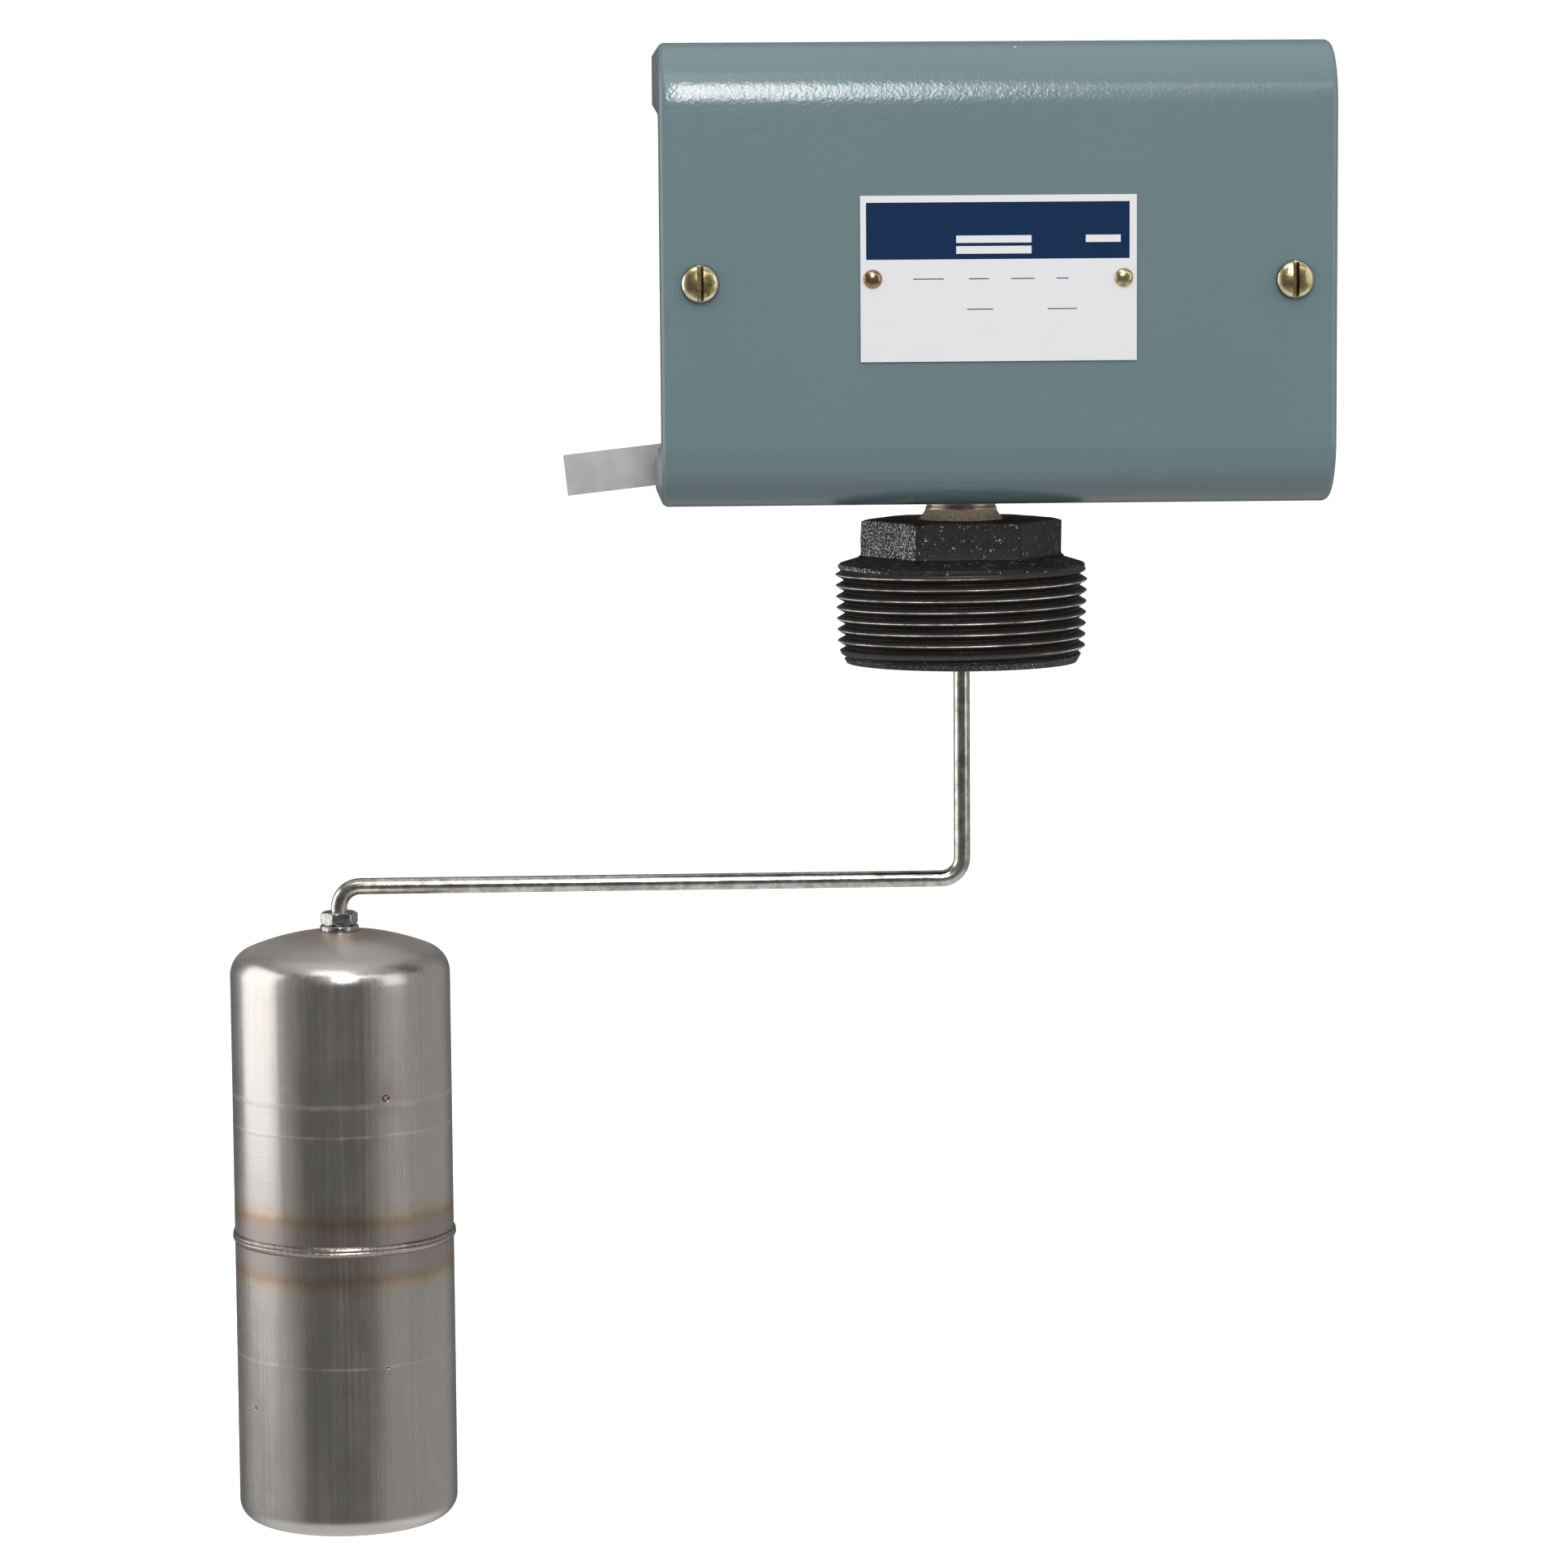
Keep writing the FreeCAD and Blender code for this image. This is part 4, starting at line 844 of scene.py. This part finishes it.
    @staticmethod
    def panel(skin: Skin, x: Pair, z: Pair, y: Pair, slot: int) -> None:
        """Adds a flat box: four walls as a ring and the two faces."""
        loop = np.array([[x[0], z[0]], [x[1], z[0]], [x[1], z[1]], [x[0], z[1]]])
        centre = loop.mean(0)
        rings = [(0.0, y[1]), (1.0, y[1]), (1.0, y[0]), (0.0, y[0])]
        grid = np.array([[[*(centre + (p - centre) * k), depth] for p in loop]
                         for k, depth in rings])
        skin.add(grid[..., [0, 2, 1]], ring=True, slot=slot)

    def rivets(self) -> None:
        """Domed heads of the two drive pins: a quarter ellipse turned round."""
        low, high = corners("nameplate_rivets")
        angle, tall = np.radians(straight(0, 90, 9)), self.rivet_height
        dome = np.stack([(high[2] - low[2]) / 2 * np.cos(angle), tall * np.sin(angle)], 1)
        self.heads("nameplate_rivets", revolve(join([[0.0, 0.0]], dome), 32), self.rivet_x,
                   low[1] + tall, self.rivet_z, (COPPER_RIVET, BRASS_RIVET), "brass_rivet", True)

    def build(self) -> None:
        """Makes every piece of the housing."""
        self.cover()
        self.screws()
        self.nameplate()
        self.rivets()
        dress({GREY_ENAMEL: "base end_plate_left end_plate_right cover_lugs",
               STRAP: "side_tab tab_rivets", GREEN: "ground_screw"})


@dataclass
class Bushing:
    """Cast hexagon with a right-hand taper pipe thread, cored out below."""

    pitch: float = 25.4 / 8
    crest: float = 35.55
    taper: float = 1 / 32
    depth: float = 2.3
    crest_flat: float = 0.07
    flank: float = 0.83
    fade: float = 1.2
    thread_top: float = 27.3
    lead: float = 33.2
    lead_slope: float = 0.55
    across: float = 50.8
    shoulder: tuple[Pair, ...] = (
        (35.5, 27.3), (35.6, 27.9), (35.2, 28.5), (32.4, 29.4), (29.4, 30.3))
    cavity: tuple[Pair, ...] = (
        (28.5, 0.0), (25.0, 0.0), (24.2, 13.0), (22.0, 18.0), (17.0, 21.4), (7.0, 22.6),
        (7.0, 33.2))
    chamfer: float = 3.33
    chamfer_reach: float = 1.6
    neck: float = 10.2
    neck_bore: float = 8.6
    seat: float = 33.2
    columns: int = 240
    rows: int = 14

    def thread(self) -> Grid:
        """Grid whose rows climb one pitch per turn.

        Height is pitch times (row over rows-per-pitch plus angle over a full turn), clipped to
        the thread's ends. Radius is the crest cone less the depth times a triangle wave of the
        row's share of a pitch, and never more than the lead chamfer's cone.
        """
        turns = self.thread_top / self.pitch + 1
        step = np.arange(int(turns * self.rows) + 2)[:, None] / self.rows
        angle = straight(0, 2 * math.pi, self.columns + 1)
        raw = self.pitch * (step - 1 + angle / (2 * math.pi))
        height = np.clip(raw, 0, self.thread_top)
        wave = np.abs(2 * np.mod(step, 1.0) - 1)
        wave = np.clip((wave - self.crest_flat) / self.flank, 0, 1)
        radius = self.crest + self.taper * height - self.depth * wave
        radius = np.minimum(radius, self.lead + self.lead_slope * height)
        fade = np.clip((height - self.thread_top + self.fade) / self.fade, 0, 1)
        radius = radius * (1 - fade) + self.shoulder[0][0] * fade
        return around(np.where(raw <= 0, self.lead, radius), angle, height)

    def hexagon(self, top: float) -> Grid:
        """Shoulder, flats, chamfered corners and top as rings over the same angles as the thread.

        Radius of a ring at height z is the hexagon's, and never more than the chamfer cone's, which
        runs from the corner's height up to just outside the flats.
        """
        angle = turn_angles(self.columns)
        flat = self.across / 2 + self.chamfer_reach
        side = hexagon_radius(angle, self.across,
                              self.across / 2 / math.cos(math.pi / 6) - 0.35)
        rim = np.minimum(side, flat)
        rings = [*self.shoulder, (side + 0.9, 30.6), (side + 0.2, 30.9), (side, 31.6), (side, 35.0)]
        rings += [(np.minimum(side, flat + drop * self.chamfer), top - drop)
                  for drop in (1.2, 0.9, 0.7, 0.6, 0.5, 0.4, 0.3, 0.2)]
        rings += [(rim - 0.06, top - 0.1), (rim - 0.3, top), (20.0, top), (15.0, top),
                  (self.neck, top)]
        radius = np.array([r + 0 * angle for r, _ in rings])
        grid = around(radius, angle, np.array([[z] for _, z in rings]))
        rough = lumps(grid, 9.0, 4)[..., None] * 0.14 + lumps(grid, 3.2, 5)[..., None] * 0.05
        grid[2:-1] += (rough * around(1.0, angle, 0.0))[2:-1]
        grid[-4:-1, :, 2] += lumps(grid[-4:-1], 6.0, 6) * 0.10 - 0.10
        return grid

    def build(self) -> None:
        """Thread, casting, lower face and cored cavity as one closed piece."""
        top = corners("bushing")[1][2]
        mouth = join([[self.lead, 0.0]], self.cavity, [[self.neck, self.seat], [self.neck, top]])
        skin = Skin("bushing_casting").add(self.thread(), slot=1)
        skin.add(self.hexagon(top), ring=True).add(revolve(mouth, self.columns), ring=True)
        skin.build("housing", ("bushing",), [IRON, THREAD], "black_iron", 32.0)
        self.tube()
        self.fillet()

    def tube(self) -> None:
        """Nipple: outside with a groove and a chamfer, inside."""
        low, high = (corner[2] for corner in corners("nipple"))
        r, bore, chamfer = self.neck, self.neck_bore, 0.25
        groove = [[r, 44.75], [r - 0.1, 44.85], [r - 0.5, 44.95], [r - 0.5, 45.2], [r - 0.1, 45.3],
                  [r, 45.4]]
        outline = join([[bore, low], [r, low]], groove,
                       [[r, high - chamfer], [r - chamfer, high], [bore, high]])
        Skin("nipple_tube").add(revolve(outline, 96), ring=True, loop=True).build(
            "housing", ("nipple",), [TUBE], "steel_tube", 40.0)

    def fillet(self) -> None:
        """Braze round the nipple's foot: a hollow curve with lumps in its reach and height."""
        foot, top = (corner[2] for corner in corners("braze_ring"))
        angle = turn_angles(120)
        ring = around(12.0, angle, 0.0)
        reach = 1.7 + 0.3 * lumps(ring, 7.0, 11)
        climb = (top - foot) * (0.92 + 0.08 * lumps(ring, 6.0, 12))
        share = straight(0, 1, 9)[:, None]
        radius = self.neck + reach * (1 - share) ** 1.8 + 0.12 * (1 - share)
        height = np.minimum(foot + climb * share + 0.35 * np.sin(math.pi * share), top)
        grid = np.concatenate([around(radius, angle, height),
                               around(self.neck, angle, height)[::-1]])
        Skin("braze_fillet").add(grid, ring=True, loop=True).build(
            "housing", ("braze_ring",), [BRAZE], "braze", 60.0)


@dataclass
class FloatArm:
    """Bent rod with its nut, boss and two-part float."""

    rod: float = 2.38
    bend: float = 6.2
    arm: float = -63.15
    axis: float = -180.4
    radius: float = 31.75
    wall: float = 0.8
    rim_gap: float = 0.5
    top: float = -75.6
    bottom: float = -250.3
    weld: float = -164.2
    upper: Pair = (70.0, 8.1)
    lower: Pair = (150.0, 5.6)
    nut_across: float = 9.5
    nut_chamfer: float = 0.7
    boss_stem: float = 4.5
    boss_bore_foot: float = -82.0

    def centre_line(self) -> Grid:
        """The rod's centre line in the upright plane: three straight runs joined by two arcs."""
        low, high = corners("float_rod")
        b, arm, axis = self.bend, self.arm, self.axis
        return join(straight((0.0, high[2]), (0.0, arm + b), 12)[:-1],
                    arc((-b, arm + b), b, 0, -90, 15),
                    straight((-b, arm), (axis + b, arm), 22)[1:-1],
                    arc((axis + b, arm - b), b, 90, 180, 15),
                    straight((axis, arm - b), (axis, low[2]), 4)[1:])

    def round_bar(self) -> None:
        """Tube carried along the centre line: each ring lies across the line's direction there."""
        line = self.centre_line()
        way = np.gradient(line, axis=0)
        way /= np.linalg.norm(way, axis=1, keepdims=True)
        angle = turn_angles(28)
        radius = np.concatenate([[0.0, self.rod - 0.3], np.full(len(line), self.rod), [0.0]])
        line, way = (np.concatenate([rows[:1], rows[:1], rows, rows[-1:]]) for rows in (line, way))
        line[2, 1] -= 0.3
        across = np.stack([way[:, 1], -way[:, 0]], 1)
        spread = radius[:, None] * np.cos(angle)
        grid = np.stack([line[:, :1] + across[:, :1] * spread, radius[:, None] * np.sin(angle),
                         line[:, 1:] + across[:, 1:] * spread], -1)
        Skin("float_rod_bar").add(grid, ring=True).build(
            "float_arm", ("float_rod",), [ROD], "polished_rod", 40.0)

    def cup_outline(self, apex: float, rim: float, form: Pair, up: int, inset: float) -> Grid:
        """Crown arc, knuckle arc and straight wall of a drawn cup, moved inwards by an inset.

        Args:
            apex: height of the cup's pole.
            rim: height of its open end.
            form: crown and knuckle radius.
            up: 1 for the upper cup, -1 for the lower.
            inset: distance inwards from the outside.

        Returns:
            Rows of radius and height from the pole to the rim.
        """
        crown, knuckle = form
        turn = math.asin((self.radius - knuckle) / (crown - knuckle))
        a, b = straight(0, turn, 26), straight(turn, math.pi / 2, 16)[1:]
        low = apex - up * (crown - (crown - knuckle) * math.cos(turn))
        reach, bend = crown - inset, knuckle - inset
        first = np.stack([reach * np.sin(a), apex - up * crown + up * reach * np.cos(a)], 1)
        wall, middle = self.radius - inset, self.radius - knuckle
        second = np.stack([middle + bend * np.sin(b), low + up * bend * np.cos(b)], 1)
        return join(first, second, straight((wall, low), (wall, rim), 24)[1:])

    def cup(self, name: str, node: str, apex: float, rim: float, form: Pair, up: int) -> None:
        """Outside and inside of one half of the float, with the wall's faint waviness."""
        outer, inner = (self.cup_outline(apex, rim, form, up, d) for d in (0.0, self.wall))
        grid = revolve(join(outer, inner[::-1]), 180)
        wave = lumps(grid * np.array([1.0, 1.0, 0.35]), 26.0, 21)[..., None] * 0.05
        inward = np.minimum(wave - 0.05, 0.0)
        grid[..., :2] *= 1 + inward / self.radius
        grid[..., 0] += self.axis
        Skin(name).add(grid, ring=True).build(
            "float_arm", (node,), [STAINLESS], "stainless_float", 34.0)

    def bead(self) -> None:
        """Weld seam: crowned ring with a lap line round it and faint ripples.

        Height over the wall is the bead's crown less a bell-shaped groove beside its middle, times
        one plus slow sines of the angle.
        """
        low, high = corners("weld_bead")
        angle, across = turn_angles(420), straight(-1, 1, 19)[:, None]
        half = (high[2] - low[2]) / 2
        ripple = 0.5 + 0.14 * np.sin(angle * 90 + across ** 2 * 1.6) + 0.2 * np.sin(angle * 7)
        ripple = ripple + 0.2 * np.sin(angle * 19 + 1.0)
        lap = np.exp(-((across - 0.12 - 0.08 * np.sin(angle * 5)) / 0.16) ** 2)
        proud = (high[0] - low[0]) / 2 - self.radius
        rise = ((1 - across ** 2) * (0.72 + 0.22 * ripple) - 0.42 * lap) * proud
        outside = around(self.radius - 0.02 + rise, angle, self.weld + half * across, self.axis)
        inner, gap = self.radius - self.wall, self.rim_gap
        inside = revolve(np.array([[inner, self.weld + gap], [inner, self.weld - gap]]), 420,
                         self.axis)
        Skin("weld_seam").add(np.concatenate([outside, inside]), ring=True, loop=True).build(
            "float_arm", ("weld_bead",), [WELD], "weld_metal", 60.0)

    def nut_and_boss(self) -> None:
        """Chamfered jam nut on the rod, and the turned boss that it locks against."""
        (_, _, low), (_, _, high) = corners("jam_nut")
        angle = turn_angles(96)
        corner = self.nut_across / math.sqrt(3)
        side = hexagon_radius(angle, self.nut_across, corner - 0.08, 12.0)
        drop = straight(0.0, self.nut_chamfer, 6)[:, None]
        cone = np.minimum(side, corner - 0.9 + drop * 0.9 / self.nut_chamfer)
        full = np.full((1, 96), self.rod)
        radius = np.concatenate([full, cone, cone[::-1], full + 0.5, full])
        height = np.concatenate([[[low]], low + drop, high - drop[::-1], [[high], [high - 0.4]]])
        grid = around(radius, angle, height, self.axis)
        Skin("rod_jam_nut").add(grid, ring=True, loop=True).build(
            "float_arm", ("jam_nut",), [TURNED], "jam_nut_steel", 28.0)
        low, high = corners("float_boss")
        r, top, foot, stem = (high[0] - low[0]) / 2, high[2], low[2], self.boss_stem
        outline = join([[self.rod, top - 0.2], [self.rod + 0.2, top]],
                       arc((r - 0.5, top - 0.5), 0.5, 90, 0, 7),
                       [[r, self.top - 0.05], [stem, self.top - 0.2], [stem, foot + 0.4],
                        [stem - 0.4, foot], [0.0, foot], [0.0, self.boss_bore_foot],
                        [self.rod, self.boss_bore_foot]])
        Skin("boss_turning").add(revolve(outline, 72, self.axis), ring=True, loop=True).build(
            "float_arm", ("float_boss",), [TURNED], "float_boss_steel", 35.0)

    def build(self) -> None:
        """Makes the rod, float, seam, nut and boss, and dresses the pivot."""
        self.round_bar()
        self.cup("float_upper_cup", "float_upper_shell", self.top,
                 self.weld + self.rim_gap, self.upper, 1)
        self.cup("float_lower_cup", "float_lower_shell", self.bottom,
                 self.weld - self.rim_gap, self.lower, -1)
        self.bead()
        self.nut_and_boss()
        dress({TURNED: "pivot_hub trunnions stem_head drive_pin"})


@dataclass
class Mechanism:
    """Switch gear inside the housing: shapes from the CAD, finishes given here."""

    def build(self) -> None:
        """Dresses plate, studs, lever, carriers, contacts and screws."""
        dress({
            ZINC: "nipple_locknut mechanism_plate block_screws tumbler_lever alternating_rocker",
            TURNED: "lever_stud spring_post rocker_stud drive_stud",
            SPRING: "lever_clip return_spring", YELLOW_ZINC: "stop_screws terminal_screws",
            BLACK_MOULDING: "contact_block_left contact_block_right",
            BROWN_MOULDING: "contact_carrier_left contact_carrier_right",
            BRASS: "fixed_contacts_left fixed_contacts_right",
            COPPER: "contact_bridges_left contact_bridges_right", RUBBER: "hub_seal",
        })


# ---- studio
@dataclass(frozen=True)
class Softbox:
    """A soft light that faces the switch."""

    name: str
    azimuth: float
    elevation: float
    distance: float
    size: Pair
    radiance: float
    aim: Place

    def build(self) -> None:
        """Hangs the light at its azimuth from the front and its elevation.

        Power of an even panel is pi times its area times its radiance.
        """
        lamp = bpy.data.lights.new(self.name, "AREA")
        lamp.shape, lamp.size, lamp.size_y = "RECTANGLE", *self.size
        lamp.energy = math.pi * self.size[0] * self.size[1] * self.radiance
        light = put(self.name, lamp)
        a, e = math.radians(self.azimuth), math.radians(self.elevation)
        way = Vector((math.sin(a) * math.cos(e), -math.cos(a) * math.cos(e), math.sin(e)))
        light.location = Vector(self.aim) + self.distance * way
        light.rotation_euler = (-way).to_track_quat("-Z", "Y").to_euler()


@dataclass(frozen=True)
class Studio:
    """Pale floor, even surround, softboxes and the camera."""

    place: Place = (-0.11928, -1.42468, 0.12581)
    yaw: float = -2.7205
    pitch: float = -6.4335
    roll: float = -0.4147
    lens: float = 113.99
    sensor: float = 36.0
    drop: float = 0.03
    floor_reach: float = 30.0
    ground: float = 0.48
    sky: float = 1.40
    front: float = 0.12
    back: float = 0.15
    above: float = 0.62
    below: float = 0.70
    left: float = 0.30
    right: float = 0.23
    boxes: tuple[Softbox, ...] = (
        Softbox("key", -1.0, 28.0, 1.3, (0.15, 0.60), 26.0, (-0.02, 0.0, 0.10)),
        Softbox("left_strip", -94.0, 8.0, 1.1, (1.02, 1.0), 1.40, (-0.10, 0.0, -0.02)),
        Softbox("spill", 22.0, 34.0, 1.3, (0.75, 0.16), 2.4, (0.06, 0.0, 0.10)),
        Softbox("right_panel", 58.0, 14.0, 1.3, (0.56, 0.95), 1.05, (-0.10, 0.0, -0.04)),
        Softbox("overhead", -18.0, 55.0, 1.5, (0.80, 0.55), 1.8, (-0.10, 0.0, 0.0)),
    )

    def floor(self) -> None:
        """Wide pale floor below the float, which shows itself and shadows and reflects nowhere."""
        low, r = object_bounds()[0][2] - self.drop, self.floor_reach
        mesh = bpy.data.meshes.new("floor")
        mesh.from_pydata([(-r, -r, low), (r, -r, low), (r, r, low), (-r, r, low)],
                         [], [(0, 1, 2, 3)])
        mesh.materials.append(Sheet("pale_floor", (0.93, 0.93, 0.93), 0.9, 0.01).material())
        floor = put("floor", mesh)
        floor.visible_glossy = floor.visible_diffuse = False
        floor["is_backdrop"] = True

    def surround(self) -> None:
        """World that is white where it is seen, and lights and reflects by direction.

        Light falls off from the sky to the ground. Reflections are darkest in front, where the
        dark of the room is, and grow towards the back, the sides, straight up and straight down.
        """
        world = bpy.data.worlds.new("surround")
        tree = Tree(world)
        ray = tree.node("ShaderNodeLightPath", {}, {}, None)
        seen, glossy = (Value(tree, ray.outputs[f"Is {kind} Ray"]) for kind in ("Camera", "Glossy"))
        x, y, z = tree.parts(tree.node("ShaderNodeTexCoord", {}, {}, "Generated"))
        lit = self.ground + z.rise(-0.9, 0.9) * (self.sky - self.ground)
        mirrored = (self.front + y.rise(-0.35, 0.75) * (self.back - self.front)
                    + z.rise(0.62, 0.95) * (self.above - self.front)
                    + z.rise(-0.30, -0.80) * (self.below - self.front)
                    + x.rise(-0.55, -0.95) * self.left + x.rise(0.35, 0.80) * self.right)
        strength = lit + glossy * (mirrored - lit)
        strength = strength + seen * (1.0 - strength)
        tree.feed(tree.tree.nodes["Background"], {"Color": (1.0, 1.0, 1.0), "Strength": strength})
        bpy.context.scene.world = world

    def camera(self) -> None:
        """Camera a little to the left and above, looking slightly down."""
        data = bpy.data.cameras.new("camera")
        data.lens, data.sensor_width, data.clip_end = self.lens, self.sensor, 100.0
        camera = put("camera", data)
        yaw, pitch, roll = (Matrix.Rotation(math.radians(turn), 4, axis) for turn, axis in
                            ((self.yaw, "Z"), (90 + self.pitch, "X"), (self.roll, "Z")))
        camera.matrix_world = Matrix.Translation(self.place) @ yaw @ pitch @ roll
        bpy.context.scene.camera = camera

    def build(self) -> None:
        """Sets up floor, surround, lights and camera."""
        self.floor()
        self.surround()
        self.camera()
        for box in self.boxes:
            box.build()
        bpy.context.scene.view_settings.view_transform = "Standard"


def main() -> None:
    """Builds the switch and its studio."""
    logging.basicConfig(level=logging.INFO, format="%(name)s %(message)s")
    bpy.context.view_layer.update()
    for assembly in (Housing(), Bushing(), FloatArm(), Mechanism(), Studio()):
        assembly.build()
        LOG.info("%s built", type(assembly).__name__)
    bpy.context.view_layer.update()


if __name__ == "__main__":
    main()
